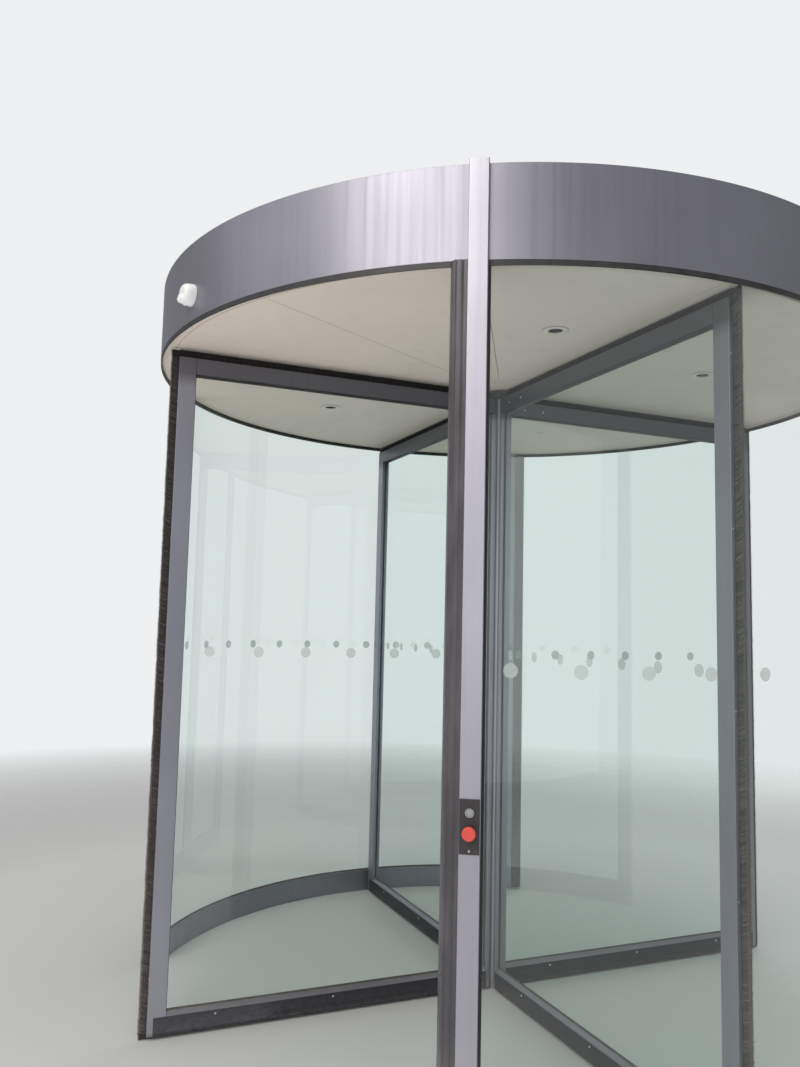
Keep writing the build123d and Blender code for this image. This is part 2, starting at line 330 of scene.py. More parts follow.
def build(name, shape, angle, finish, body, smooth_angle=35.0, large_faces=True, marks=None):
    """Mesh object of a shape turned about the axis, with a finish. It rides on a body. Faces that meet below
    the smooth angle shade as one, and large faces stay flat beside small soft edges, because each counts by
    its area. Marks are values of the points by name, which the finish can read."""
    points, faces = turned_shape(shape, angle)
    corners = np.concatenate([group.ravel() for group in faces])
    counts = np.concatenate([np.full(len(group), group.shape[1]) for group in faces])
    starts = np.concatenate([[0], np.cumsum(counts)[:-1]])
    mesh = bpy.data.meshes.new(name)
    mesh.vertices.add(len(points))
    mesh.vertices.foreach_set("co", np.ascontiguousarray(points, np.float32).ravel())
    mesh.loops.add(len(corners))
    mesh.loops.foreach_set("vertex_index", corners.astype(np.int32))
    mesh.polygons.add(len(counts))
    mesh.polygons.foreach_set("loop_start", starts.astype(np.int32))
    mesh.polygons.foreach_set("use_smooth", np.ones(len(counts), bool))
    mesh.update(calc_edges=True)
    if mesh.validate():
        raise RuntimeError(f"the mesh of {name} had faults")
    mesh.set_sharp_from_angle(angle=math.radians(smooth_angle))
    for mark, values in (marks or {}).items():
        mesh.attributes.new(mark, "FLOAT", "POINT").data.foreach_set("value", np.asarray(values, np.float32))
    mesh.materials.append(finish_of(finish))
    piece = bpy.data.objects.new(name, mesh)
    bpy.context.scene.collection.objects.link(piece)
    if large_faces:
        weights = piece.modifiers.new("large_faces_flat", "WEIGHTED_NORMAL")
        weights.keep_sharp = True
    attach(piece, body)
    return piece


def placed(name, data, x, y, z, place):
    """Object in the scene with its own three axes and its place."""
    thing = bpy.data.objects.new(name, data)
    bpy.context.scene.collection.objects.link(thing)
    matrix = np.eye(4)
    matrix[:3] = np.column_stack([x, y, z, place])
    thing.matrix_world = Matrix(matrix.tolist())
    return thing


def paint(node, finish):
    """Gives a CAD node a finish."""
    slots = frame["nodes"][node].data.materials
    slots.clear()
    slots.append(finish_of(finish))


def finish_of(name):
    """One of the made finishes."""
    return bpy.data.materials["door_" + name]


# Finishes


def shade(colour, factor):
    """A colour made lighter or darker."""
    return tuple(min(1.0, channel * factor) for channel in colour)


def plain(colour):
    """The three channels of a colour property."""
    return tuple(colour)[:3]


class Nodes:
    """A node tree, with short ways to find, add and link its nodes."""

    def __init__(self, owner):
        owner.use_nodes = True
        self.tree = owner.node_tree

    def first(self, kind):
        """The tree's first node of a kind."""
        return next(node for node in self.tree.nodes if node.type == kind)

    def feed(self, socket, value):
        """Gives a socket its link, number, vector or colour."""
        if isinstance(value, bpy.types.NodeSocket):
            self.tree.links.new(value, socket)
        elif socket.type == "RGBA":
            socket.default_value = (*value, 1.0)
        else:
            socket.default_value = value

    def node(self, kind, inputs=None, **settings):
        """New node with its settings, and its inputs by name or number."""
        made = self.tree.nodes.new(kind)
        for key, value in settings.items():
            setattr(made, key, value)
        for key, value in (inputs or {}).items():
            self.feed(made.inputs[key], value)
        return made


class Finish(Nodes):
    """The node tree of one material."""

    def __init__(self, name):
        self.material = bpy.data.materials.new(name)
        super().__init__(self.material)
        self.shader = self.first("BSDF_PRINCIPLED")
        self.output = self.first("OUTPUT_MATERIAL")
        self.place = self.node("ShaderNodeTexCoord").outputs["Object"]

    def noise(self, scale, stretch=(1.0, 1.0, 1.0), detail=3.0, roughness=0.5):
        """Noise over Object coordinates, stretched along the axes, from 0 to 1."""
        place = self.node("ShaderNodeMapping", {"Vector": self.place, "Scale": stretch})
        inputs = {"Vector": place.outputs[0], "Scale": scale, "Detail": detail, "Roughness": roughness}
        return self.node("ShaderNodeTexNoise", inputs).outputs["Fac"]

    def spread(self, value, low, high, new_low=0.0, new_high=1.0):
        """A value carried from one range to another, and kept inside it."""
        inputs = {"Value": value, "From Min": low, "From Max": high, "To Min": new_low, "To Max": new_high}
        return self.node("ShaderNodeMapRange", inputs).outputs[0]

    def mix(self, amount, first, second):
        """Colour between two colours."""
        return self.node("ShaderNodeMix", {0: amount, 6: first, 7: second}, data_type="RGBA").outputs[2]

    def varied(self, colour, dark, light, value, low, high):
        """A colour that goes from a dark to a light shade while a value goes from low to high."""
        return self.mix(self.spread(value, low, high), shade(colour, dark), shade(colour, light))

    def maths(self, operation, first, second):
        """One step of arithmetic on two values."""
        return self.node("ShaderNodeMath", {0: first, 1: second}, operation=operation).outputs[0]

    def mark(self, name):
        """Value that the piece's points carry under a name."""
        return self.node("ShaderNodeAttribute", attribute_name=name).outputs["Fac"]

    def height(self):
        """Level above the floor."""
        return self.node("ShaderNodeSeparateXYZ", {0: self.place}).outputs["Z"]

    def bump(self, value, strength, distance):
        """Small relief on the shader's normal."""
        made = self.node("ShaderNodeBump", {"Height": value, "Strength": strength, "Distance": distance})
        self.feed(self.shader.inputs["Normal"], made.outputs[0])

    def set(self, **sockets):
        """Links and plain values of the shader's own sockets, with _ for a blank."""
        for key, value in sockets.items():
            self.feed(self.shader.inputs[key.replace("_", " ")], value)

    def blend(self, amount, second):
        """Sends the shader to the output, mixed with a second shader by an amount."""
        mixed = self.node("ShaderNodeMixShader", {0: amount, 1: self.shader.outputs[0], 2: second.outputs[0]})
        self.feed(self.output.inputs[0], mixed.outputs[0])


def metal_paint(name, colour, settings, metallic, roughness):
    """Silver-grey metallic paint: fine flakes, faint rain streaks that run down, and splash dirt near the
    floor. The mark "dark" paints the canopy's shade on the head rails and the stiles' tops, and it also
    makes the foot rails darker."""
    finish = Finish(name)
    streaks = finish.noise(46.0, stretch=(1.0, 1.0, 0.025), detail=4.0)
    clouds = finish.noise(2.2, detail=2.0)
    flakes = finish.noise(900.0, detail=1.0)
    tone = finish.varied(colour, 0.93, 1.05, clouds, 0.35, 0.65)
    tone = finish.mix(finish.spread(streaks, 0.52, 0.78, 0.0, settings.streak), tone, shade(colour, 0.72))
    tone = finish.mix(finish.spread(flakes, 0.45, 0.75, 0.0, 0.16), tone, shade(colour, 1.35))
    # Painted shade: where the mark is set, the paint turns nearly black. This is the canopy's shade on the
    # head rail and the stiles' tops, and a darker foot rail.
    tone = finish.mix(finish.mark("dark"), tone, shade(colour, 0.12))
    patches = finish.noise(24.0, stretch=(1.0, 1.0, 0.5), detail=5.0)
    low = finish.spread(finish.height(), 0.0, settings.splash_height, 1.0, 0.0)
    splash = finish.maths("MULTIPLY", low, finish.spread(patches, 0.38, 0.72, 0.0, 0.40))
    tone = finish.mix(splash, tone, plain(settings.dust))
    rough = finish.spread(streaks, 0.3, 0.8, roughness - 0.05, roughness + 0.07)
    rough = finish.maths("ADD", rough, finish.maths("MULTIPLY", splash, 0.3))
    finish.set(Base_Color=tone, Metallic=metallic, Roughness=rough)
    finish.bump(finish.noise(700.0, detail=2.0), 0.05, 0.0004)


def dark_metal(name, colour, settings):
    """Dark anodised brush carrier with scuffs along its length and floor dust."""
    finish = Finish(name)
    scuffs = finish.noise(30.0, stretch=(1.0, 1.0, 9.0), detail=5.0, roughness=0.65)
    tone = finish.varied(colour, 0.85, 1.3, scuffs, 0.4, 0.7)
    low = finish.spread(finish.height(), 0.0, 0.075, 0.16, 0.0)
    dust = finish.maths("MULTIPLY", low, finish.spread(finish.noise(55.0, detail=4.0), 0.35, 0.7))
    tone = finish.mix(dust, tone, plain(settings.dust))
    finish.set(Base_Color=tone, Metallic=0.5, Roughness=finish.spread(scuffs, 0.3, 0.8, 0.36, 0.56))
    finish.bump(scuffs, 0.08, 0.0004)


def matt_paint(name, colour, settings):
    """Matt ceiling paint: soft clouds, faint dust and an orange-peel relief."""
    finish = Finish(name)
    clouds = finish.noise(1.6, detail=3.0)
    dust = finish.noise(14.0, detail=6.0, roughness=0.7)
    tone = finish.varied(colour, 0.95, 1.03, clouds, 0.3, 0.7)
    tone = finish.mix(finish.spread(dust, 0.55, 0.85, 0.0, 0.25), tone, plain(settings.dust))
    finish.set(Base_Color=tone, Roughness=finish.spread(dust, 0.3, 0.7, 0.5, 0.62), Specular_IOR_Level=0.4)
    finish.bump(finish.noise(420.0, detail=2.0), 0.06, 0.0006)


def rubber(name, colour, settings, roughness):
    """Black rubber with a dusty bloom, fine grain and rub marks that run along Z."""
    finish = Finish(name)
    bloom = finish.noise(18.0, stretch=(1.0, 1.0, 0.2), detail=5.0, roughness=0.6)
    tone = finish.varied(colour, 1.0, 2.0, bloom, 0.4, 0.75)
    low = finish.spread(finish.height(), 0.0, settings.splash_height, 0.55, 0.0)
    tone = finish.mix(finish.maths("MULTIPLY", low, bloom), tone, plain(settings.dust))
    finish.set(Base_Color=tone, Roughness=finish.spread(bloom, 0.3, 0.7, roughness - 0.07, roughness + 0.12))
    finish.bump(finish.noise(600.0, detail=3.0), 0.1, 0.0005)


def pile(name, colour, faded):
    """Brush pile: fine strands of uneven tone, with pale tips. Where its mark is set it is brown, faded
    and as seen lit; elsewhere it is black, partly as painted shade under the canopy. The pale tips are partly
    wear and partly a painted highlight where light catches the brush's edge.
    """
    finish = Finish(name)
    strands = finish.noise(260.0, stretch=(1.0, 1.0, 0.35), detail=3.0)
    tufts = finish.noise(36.0, detail=3.0)
    # Partly painted light: the marked pile is brown as it looks lit, and the rest is black as it looks in the
    # canopy's shade.
    dark = finish.mix(finish.mark("faded"), shade(colour, 0.55), shade(faded, 0.38))
    light = finish.mix(finish.mark("faded"), shade(colour, 1.7), shade(faded, 3.0))
    tips = finish.mix(finish.mark("faded"), shade(colour, 2.5), shade(faded, 4.5))
    tone = finish.mix(finish.mark("tone"), dark, light)
    tone = finish.mix(finish.maths("MULTIPLY", finish.spread(strands, 0.3, 0.7), 0.4), tone, light)
    tone = finish.mix(finish.spread(tufts, 0.5, 0.75, 0.0, 0.4), tone, dark)
    # Painted highlight: the tips are lighter, partly from wear and partly for the light caught on the brush's
    # edge.
    tone = finish.mix(finish.spread(finish.mark("tip"), 0.70, 1.0, 0.0, 0.75), tone, tips)
    finish.set(Base_Color=tone, Roughness=0.72, Sheen_Weight=0.30, Sheen_Roughness=0.4,
               Sheen_Tint=(0.74, 0.69, 0.67), Specular_IOR_Level=0.3)


def moulded(name, colour, settings, roughness):
    """Moulded plastic with a fine grain, a slight tone change and dust."""
    finish = Finish(name)
    clouds = finish.noise(30.0, detail=3.0)
    dust = finish.noise(160.0, detail=5.0, roughness=0.7)
    tone = finish.varied(colour, 0.94, 1.03, clouds, 0.35, 0.65)
    tone = finish.mix(finish.spread(dust, 0.58, 0.8, 0.0, 0.3), tone, plain(settings.dust))
    finish.set(Base_Color=tone, Roughness=finish.spread(dust, 0.3, 0.8, roughness, roughness + 0.15))
    finish.bump(finish.noise(1500.0, detail=2.0), 0.06, 0.0002)


def bare_metal(name, colour, roughness):
    """Bare turned steel with fine rings and slight tarnish."""
    finish = Finish(name)
    tarnish = finish.noise(60.0, detail=5.0, roughness=0.6)
    tone = finish.mix(finish.spread(tarnish, 0.45, 0.75, 0.0, 0.5), colour, shade(colour, 0.6))
    rough = finish.spread(tarnish, 0.3, 0.8, roughness, roughness + 0.2)
    finish.set(Base_Color=tone, Metallic=1.0, Roughness=rough)
    finish.bump(finish.noise(900.0, stretch=(1.0, 1.0, 6.0), detail=2.0), 0.08, 0.0002)


def clear_glass(name, tint, settings):
    """Clear float glass with a faint green tint and wiped smears. Lamps shine through it without bending."""
    finish = Finish(name)
    smears = finish.noise(3.5, stretch=(1.0, 1.0, 0.6), detail=5.0, roughness=0.6)
    rough = finish.spread(smears, 0.45, 0.8, 0.0, settings.smear)
    finish.set(Base_Color=tint, Roughness=rough, Transmission_Weight=1.0, IOR=1.46)
    path = finish.node("ShaderNodeLightPath")
    through = finish.maths("MAXIMUM", path.outputs["Is Shadow Ray"], path.outputs["Is Diffuse Ray"])
    finish.blend(through, finish.node("ShaderNodeBsdfTransparent", {"Color": shade(tint, 0.98)}))


def frosted_film(name, colour):
    """Frosted film on glass: a pale, half clear layer with a fine grain."""
    finish = Finish(name)
    tone = finish.varied(colour, 0.92, 1.04, finish.noise(400.0, detail=3.0), 0.3, 0.7)
    finish.set(Base_Color=tone, Roughness=0.6, Alpha=0.42)


def roof_paint(name, colour, settings):
    """Grey roof sheet with dust that has settled in patches, and dark specks with a slight relief."""
    finish = Finish(name)
    patches = finish.noise(3.0, detail=6.0, roughness=0.65)
    specks = finish.noise(60.0, detail=4.0)
    tone = finish.mix(finish.spread(patches, 0.4, 0.7, 0.1, 0.7), colour, plain(settings.dust))
    tone = finish.mix(finish.spread(specks, 0.6, 0.75, 0.0, 0.4), tone, shade(colour, 0.5))
    finish.set(Base_Color=tone, Metallic=0.2, Roughness=finish.spread(patches, 0.3, 0.7, 0.5, 0.75))
    finish.bump(specks, 0.1, 0.0006)


# Settings


def colour_of(name, description, value):
    """Colour in a group of settings."""
    return FloatVectorProperty(name=name, description=description, subtype="COLOR", size=3, default=value)


def length_of(name, description, metres):
    """Length in a group of settings."""
    return FloatProperty(name=name, description=description, unit="LENGTH", default=metres)


def share_of(name, description, value):
    """Share from 0 to 1 in a group of settings."""
    return FloatProperty(name=name, description=description, subtype="FACTOR", min=0.0, max=1.0,
                         default=value)


def angle_of(name, description, degrees):
    """Angle in a group of settings."""
    return FloatProperty(name=name, description=description, subtype="ANGLE", unit="ROTATION",
                         default=math.radians(degrees))


def power_of(name, description, watts):
    """Power of a lamp in a group of settings."""
    return FloatProperty(name=name, description=description, subtype="POWER", default=watts)


def count_of(name, description, least, most, value):
    """Whole number in a group of settings."""
    return IntProperty(name=name, description=description, min=least, max=most, default=value)


def number_of(name, description, value):
    """Plain number in a group of settings."""
    return FloatProperty(name=name, description=description, default=value)


class DoorColours(bpy.types.PropertyGroup):
    """Colours and wear of the finishes."""

    frame: colour_of("Frame paint", "Metallic paint of wings, column and floor rails", (0.315, 0.315, 0.37))
    canopy: colour_of("Canopy paint", "Metallic paint of the fascia", (0.30, 0.295, 0.345))
    cover: colour_of("Cover paint", "Paler metallic paint of the end posts", (0.43, 0.42, 0.485))
    carrier: colour_of("Brush carrier", "Dark metal along the wings' foot", (0.044, 0.044, 0.054))
    ceiling: colour_of("Ceiling", "Matt paint of the ceiling", (0.70, 0.61, 0.545))
    rubber: colour_of("Rubber", "Seals, gaskets and the collar", (0.035, 0.033, 0.036))
    edge: colour_of("Safety edge", "Glossy rubber of the safety edges", (0.056, 0.051, 0.058))
    pile: colour_of("Brush pile", "Strands of the brushes", (0.016, 0.015, 0.016))
    # Partly painted light: this brown also stands for the side brushes being lit, while the head brushes stay
    # black as painted shade.
    faded_pile: colour_of("Faded pile", "Strands that sun and dust have faded", (0.052, 0.044, 0.042))
    glass: colour_of("Glass tint", "Light that one surface of a pane lets through", (0.90, 0.945, 0.93))
    film: colour_of("Frosted film", "Dots on the panes", (0.60, 0.66, 0.63))
    sensor: colour_of("Sensor plastic", "Motion sensors", (0.86, 0.86, 0.85))
    stop: colour_of("Stop button", "Emergency stop heads", (0.66, 0.075, 0.06))
    plate: colour_of("Control plate", "Plates round the stop buttons", (0.030, 0.026, 0.030))
    steel: colour_of("Bare steel", "Roof screws, bearings and switch fittings", (0.42, 0.42, 0.43))
    zinc: colour_of("Zinc", "Bright screws of the wings", (0.80, 0.79, 0.77))
    rim: colour_of("Lamp rims", "Satin rims of the recessed lamps", (0.68, 0.60, 0.53))
    # Dark glossy parts, so near-black that they also stand for the shade inside the lamps' recesses. This
    # colour also fills the painted shadow rings round the rims.
    lens: colour_of("Lamp lenses", "Dark glossy lenses of the recessed lamps", (0.007, 0.007, 0.008))
    roof: colour_of("Roof sheet", "Top of the canopy", (0.17, 0.17, 0.18))
    dust: colour_of("Dust", "Settled and splashed dirt", (0.33, 0.29, 0.245))
    streak: share_of("Rain streaks", "Strength of the streaks on the paint", 0.20)
    splash_height: length_of("Splash height", "How far up dirt has splashed", 0.42)
    smear: share_of("Glass smears", "Roughness of wiped smears on the panes", 0.025)


class WingTrim(bpy.types.PropertyGroup):
    """Sizes of the trim on the four wings."""

    corner: length_of("Corner radius", "Soft edges of the frame's bars", 0.0016)
    joint: length_of("Joint", "Gap between a stile and a rail", 0.0004)
    brush_groove: length_of("Brush groove", "Half width of the groove for the side brush", 0.0074)
    groove_depth: length_of("Groove depth", "Depth of the groove for the side brush", 0.004)
    glass_bite: length_of("Glass bite", "How deep the panes sit in the frame", 0.012)
    bead_rise: length_of("Bead rise", "How far the glazing beads slope up the glass", 0.0115)
    bead_lip: length_of("Bead lip", "Thickness of a bead where it meets the glass", 0.0025)
    gasket: length_of("Gasket height", "Black gasket between glass and frame", 0.004)
    gasket_foot: length_of("Gasket foot", "Thickness of the gasket at the frame", 0.0032)
    # Painted shade: past the gasket, this black strip stands for the shade on the head rail's underside.
    head_gasket: length_of("Head gasket", "How far the gasket covers the head rail's underside", 0.0150)
    # Painted shade: the canopy's shade painted on the head rails and the stiles' tops, and a darker foot
    # rail.
    dark_head: share_of("Dark head rail", "How much darker the head rail is painted", 0.60)
    dark_foot: share_of("Dark foot rail", "How much darker the foot rail is painted", 0.34)
    dark_fade: length_of("Dark fade", "Length over which a stile darkens below the head rail", 0.05)
    carrier_height: length_of("Carrier height", "Dark brush carrier along the foot", 0.0595)
    carrier_proud: length_of("Carrier depth", "How far the carrier stands off the wing", 0.0018)
    carrier_short: length_of("Carrier end", "Width of stile left clear at its end", 0.020)
    carrier_line: length_of("Carrier line", "Height of the groove along the carrier", 0.006)
    carrier_soft: length_of("Carrier edge", "Soft edges of the carrier", 0.0007)
    screw_radius: length_of("Screw radius", "Heads of the screws by the hub", 0.0042)
    head_screw_drop: length_of("Head screw drop", "From the wing's top to the screws by the hub", 0.033)
    foot_screw_rise: length_of("Foot screw rise", "From the wing's foot to the carrier's screws", 0.048)
    dot_radius: length_of("Dot radius", "Frosted dots on the glass", 0.019)
    dot_pitch: length_of("Dot pitch", "Distance between the frosted dots", 0.180)
    dot_height: length_of("Dot height", "Level of the row of frosted dots", 1.302)
    first_dot: length_of("First dot", "Outermost dot's distance from the axis", 1.182)
    last_dot: length_of("Last dot", "Least distance of a dot from the axis", 0.08)


class BrushLook(bpy.types.PropertyGroup):
    """Sizes of the pile brushes."""

    tuft: length_of("Tuft pitch", "Distance between tufts", 0.0027)
    rows: count_of("Rows", "Rows of tufts across a brush", 1, 6, 4)
    width: length_of("Brush width", "Thickness of the pile", 0.014)
    over: length_of("Side reach", "How far the side brush's longest tufts pass the plain solid", 0.0038)
    over_head: length_of("Head reach", "The same for the head brush", 0.003)
    over_foot: length_of("Foot reach", "The same for the foot brush", 0.0035)
    sunk: length_of("Sunk root", "How deep the side brush stands in its groove", 0.004)
    hang: length_of("Hang", "How far the side brush hangs below the frame", 0.009)
    head_gap: length_of("Head gap", "From the side brush's top to that of the plain solid", 0.003)
    end_gap: length_of("End gap", "Room at both ends of the head and foot brush", 0.002)
    ragged: length_of("Ragged edge", "How much shorter worn tufts of the side brush are", 0.0042)
    ragged_head: length_of("Ragged head", "The same for the brushes of the head and foot", 0.0022)
    lean: length_of("Lean", "How far groups of tufts lean along the brush", 0.010)
    lean_side: number_of("Side lean", "Lean that all tufts of the side brush share, in leans", 1.4)
    # Partly painted shade: a lower share keeps the foot brush darker, as in the shade under the wing.
    foot_faded_and_lit: share_of("Faded foot", "How far the foot brush has faded", 0.6)


class WallTrim(bpy.types.PropertyGroup):
    """Sizes of the trim on the curved walls and posts."""

    border: length_of("Black border", "Black border of a pane beside a post", 0.0085)
    top_border: length_of("Top border", "Black border of a pane under the canopy", 0.0065)
    foot_border: length_of("Foot border", "Black border of a pane over its floor rail", 0.005)
    border_corner: length_of("Border corner", "Radius of the border's inner corners", 0.010)
    border_step: length_of("Border step", "Longest straight stretch of a border", 0.02)
    film: length_of("Film thickness", "Thickness of the borders", 0.0004)
    corner: length_of("Corner radius", "Soft edges of posts and rails", 0.0022)
    glass_bite: length_of("Glass bite", "How deep the curved panes sit in the floor rail", 0.015)
    gasket: length_of("Gasket", "Height and foot of the gaskets on the floor rails", 0.0045)
    rail_line: length_of("Rail line", "Level of the fine groove below the rail's top", 0.013)
    cover_soft: length_of("Cover ends", "Soft edges at the ends of a post's cover", 0.0012)
    cover_lap: length_of("Cover lap", "How far a post's cover is wider than its body", 0.0015)
    side_gasket: length_of("Side gasket", "Width of the gasket between a post and its pane", 0.0050)
    seal: length_of("Seal", "Height left for the seal above the side gaskets", 0.0165)
    edge_ribs: count_of("Edge ribs", "Ribs on the face of a safety edge", 1, 6, 3)
    edge_rib_depth: length_of("Rib depth", "Depth of the grooves between the ribs", 0.0016)
    dots: count_of("Wall dots", "Frosted dots on each curved wall", 1, 30, 12)
    first_dot: angle_of("First dot", "Angle of the first dot on the right wall", 48.75)


class FittingTrim(bpy.types.PropertyGroup):
    """Sizes of the fittings on the canopy and of the stop buttons."""

    sheet_corner: length_of("Sheet edge", "Soft edges of the fascia sheets", 0.0012)
    rim_radius: length_of("Lamp rim", "Radius of a recessed lamp's plain rim", 0.043)
    joint_setback: length_of("Joint setback", "From the curved wall to the ceiling's round joint", 0.024)
    joint_half: length_of("Joint half width", "Half the width of the ceiling's round joint", 0.0009)
    roof_screw: length_of("Roof screw", "Radius of the screws on the roof sheet", 0.006)
    roof_screw_inset: length_of("Roof screw inset", "From the roof's edge to its screws", 0.03)
    roof_screws: count_of("Roof screws", "Screws round the roof sheet", 1, 72, 24)
    stop_thickness: length_of("Stop head", "Thickness of an emergency stop head", 0.012)
    stop_stem: length_of("Stop stem", "Radius of an emergency stop's stem", 0.008)
    plate_screw: length_of("Plate screw", "Radius of the screw below the stop button", 0.0036)
    plate_screw_rise: length_of("Plate screw rise", "From the plate's foot to its screw", 0.008)
    key_radius: length_of("Key switch", "Radius of the key switch", 0.0120)
    key_drop: length_of("Key switch drop", "From the plate's top to the key switch", 0.0335)
    sensor_ball: length_of("Sensor ball", "Radius of a sensor's swivelling eye", 0.018)
    sensor_drop: length_of("Sensor drop", "How far the eye sits below the sensor's middle", 0.017)
    sensor_tilt: angle_of("Sensor tilt", "How far the eye looks down", 35.0)


class StageSettings(bpy.types.PropertyGroup):
    """Camera, lamps and floor."""

    camera_distance: length_of("Camera distance", "From the turning axis, level", 3.7397)
    camera_angle: angle_of("Camera angle", "Where the camera stands round the door", 47.37)
    camera_height: length_of("Camera height", "Above the floor", 1.4118)
    camera_heading: angle_of("Camera heading", "From +Y towards +X", -53.71)
    camera_pitch: angle_of("Camera pitch", "Above the horizon", 5.83)
    camera_roll: angle_of("Camera roll", "About its own line of sight", 1.35)
    focal_pixels: number_of("Focal length in pixels", "Of the photograph's frame", 897.73)
    frame_height: count_of("Frame height", "Of the photograph in pixels", 1, 10000, 1067)
    floor_colour: colour_of("Floor", "Plain pale floor", (0.645, 0.645, 0.64))
    floor_radius: length_of("Floor radius", "Of the round floor", 16.0)
    floor_fade: length_of("Floor fade", "Distance from the axis at which the floor begins to fade", 2.8)
    floor_end: length_of("Floor end", "Distance from the axis at which the floor has faded", 7.5)
    back_colour: colour_of("Background", "What the camera sees behind the door", (0.86, 0.87, 0.88))
    world_colour: colour_of("World colour", "Even light from all round", (0.96, 0.98, 1.0))
    world_strength: number_of("World strength", "Even light from all round", 0.33)
    key_power: power_of("Key lamp", "Large soft lamp high in front", 400.0)
    ground_power: power_of("Ground lamp", "Soft light thrown up under the canopy", 36.0)
    back_ground_power: power_of("Back ground lamp", "The same from behind", 8.0)
    front_power: power_of("Front lamp", "Large soft lamp at the height of the eyes", 55.0)
    left_power: power_of("Left lamp", "Soft lamp for the canopy's left part", 45.0)
    fill_power: power_of("Fill lamp", "Large soft lamp behind", 170.0)
    top_power: power_of("Top lamp", "Large soft lamp overhead", 240.0)


# Each lamp stands at an angle, distance and height, and looks at a level of the axis, or up without one.
Lamp = namedtuple("Lamp", "name size angle distance height aim mirrored colour",
                  defaults=(True, (1.0, 1.0, 1.0)))
LAMPS = (
    Lamp("key", (5.6, 4.2), 24.0, 8.5, 6.9, 1.8, colour=(1.0, 0.95, 0.89)),
    Lamp("ground", (3.0, 2.4), -4.0, 2.1, 0.02, None, mirrored=False),
    Lamp("back_ground", (3.0, 2.4), 220.0, 2.2, 0.02, None, mirrored=False),
    Lamp("front", (7.0, 3.0), 44.0, 6.5, 1.65, 1.4),
    Lamp("left", (6.6, 2.8), -18.0, 8.0, 5.9, 2.4),
    Lamp("fill", (5.0, 4.0), 200.0, 7.5, 3.2, 1.4),
    Lamp("top", (6.0, 6.0), 80.0, 1.0, 7.5, 0.0),
)


# Pieces


class DOOR_OT_finishes(bpy.types.Operator):
    """Makes every finish and gives the plain solids theirs"""

    bl_idname = "door.finishes"
    bl_label = "Finishes"

    def execute(self, context):
        settings = context.scene.door_colours
        paints = (("frame", 0.82, 0.40), ("canopy", 0.86, 0.42), ("cover", 0.82, 0.40))
        for name, metallic, roughness in paints:
            metal_paint("door_" + name, plain(getattr(settings, name)), settings, metallic, roughness)
        dark_metal("door_carrier", plain(settings.carrier), settings)
        matt_paint("door_ceiling", plain(settings.ceiling), settings)
        matt_paint("door_joint", shade(plain(settings.ceiling), 0.45), settings)
        black = plain(settings.rubber)
        rubber("door_rubber", black, settings, 0.42)
        rubber("door_seal", shade(black, 0.6), settings, 0.44)
        rubber("door_sealant", shade(black, 0.4), settings, 0.38)
        rubber("door_glossy_rubber", plain(settings.edge), settings, 0.30)
        pile("door_pile", plain(settings.pile), plain(settings.faded_pile))
        plastics = (("sensor", 0.28), ("stop", 0.34), ("plate", 0.44), ("rim", 0.30), ("lens", 0.10))
        for name, roughness in plastics:
            moulded("door_" + name, plain(getattr(settings, name)), settings, roughness)
        bare_metal("door_steel", plain(settings.steel), 0.34)
        bare_metal("door_zinc", plain(settings.zinc), 0.42)
        clear_glass("door_glass", plain(settings.glass), settings)
        frosted_film("door_film", plain(settings.film))
        roof_paint("door_roof", plain(settings.roof), settings)
        for node, finish in PLAIN_NODES.items():
            paint(node, finish)
        return {"FINISHED"}


# Sizes of a wing turned back to -Y. Outer, inner and tip are distances from the axis, foot, head, low and
# high are levels, half and pane are half thicknesses, and sight is the part of the pane that shows.
Wing = namedtuple("Wing", (
    "angle half pane outer inner foot head sight_outer sight_inner sight_low sight_high brush_tip brush_foot "
    "brush_head"
))


def wing_sizes(number, trim):
    """Sizes of one wing, read from the frame."""
    angle = heading(f"wing_{number}_glass")
    frame_low, frame_high = turned_back(f"wing_{number}_frame", angle)
    glass_low, glass_high = turned_back(f"wing_{number}_glass", angle)
    brush_low, brush_high = turned_back(f"wing_{number}_brushes", angle)
    bite = trim.glass_bite
    return Wing(
        angle=angle, half=frame_high[0], pane=glass_high[0],
        outer=-frame_low[1], inner=-frame_high[1], foot=frame_low[2], head=frame_high[2],
        sight_outer=-glass_low[1] - bite, sight_inner=-glass_high[1] + bite,
        sight_low=glass_low[2] + bite, sight_high=glass_high[2] - bite,
        brush_tip=-brush_low[1], brush_foot=brush_low[2], brush_head=brush_high[2],
    )


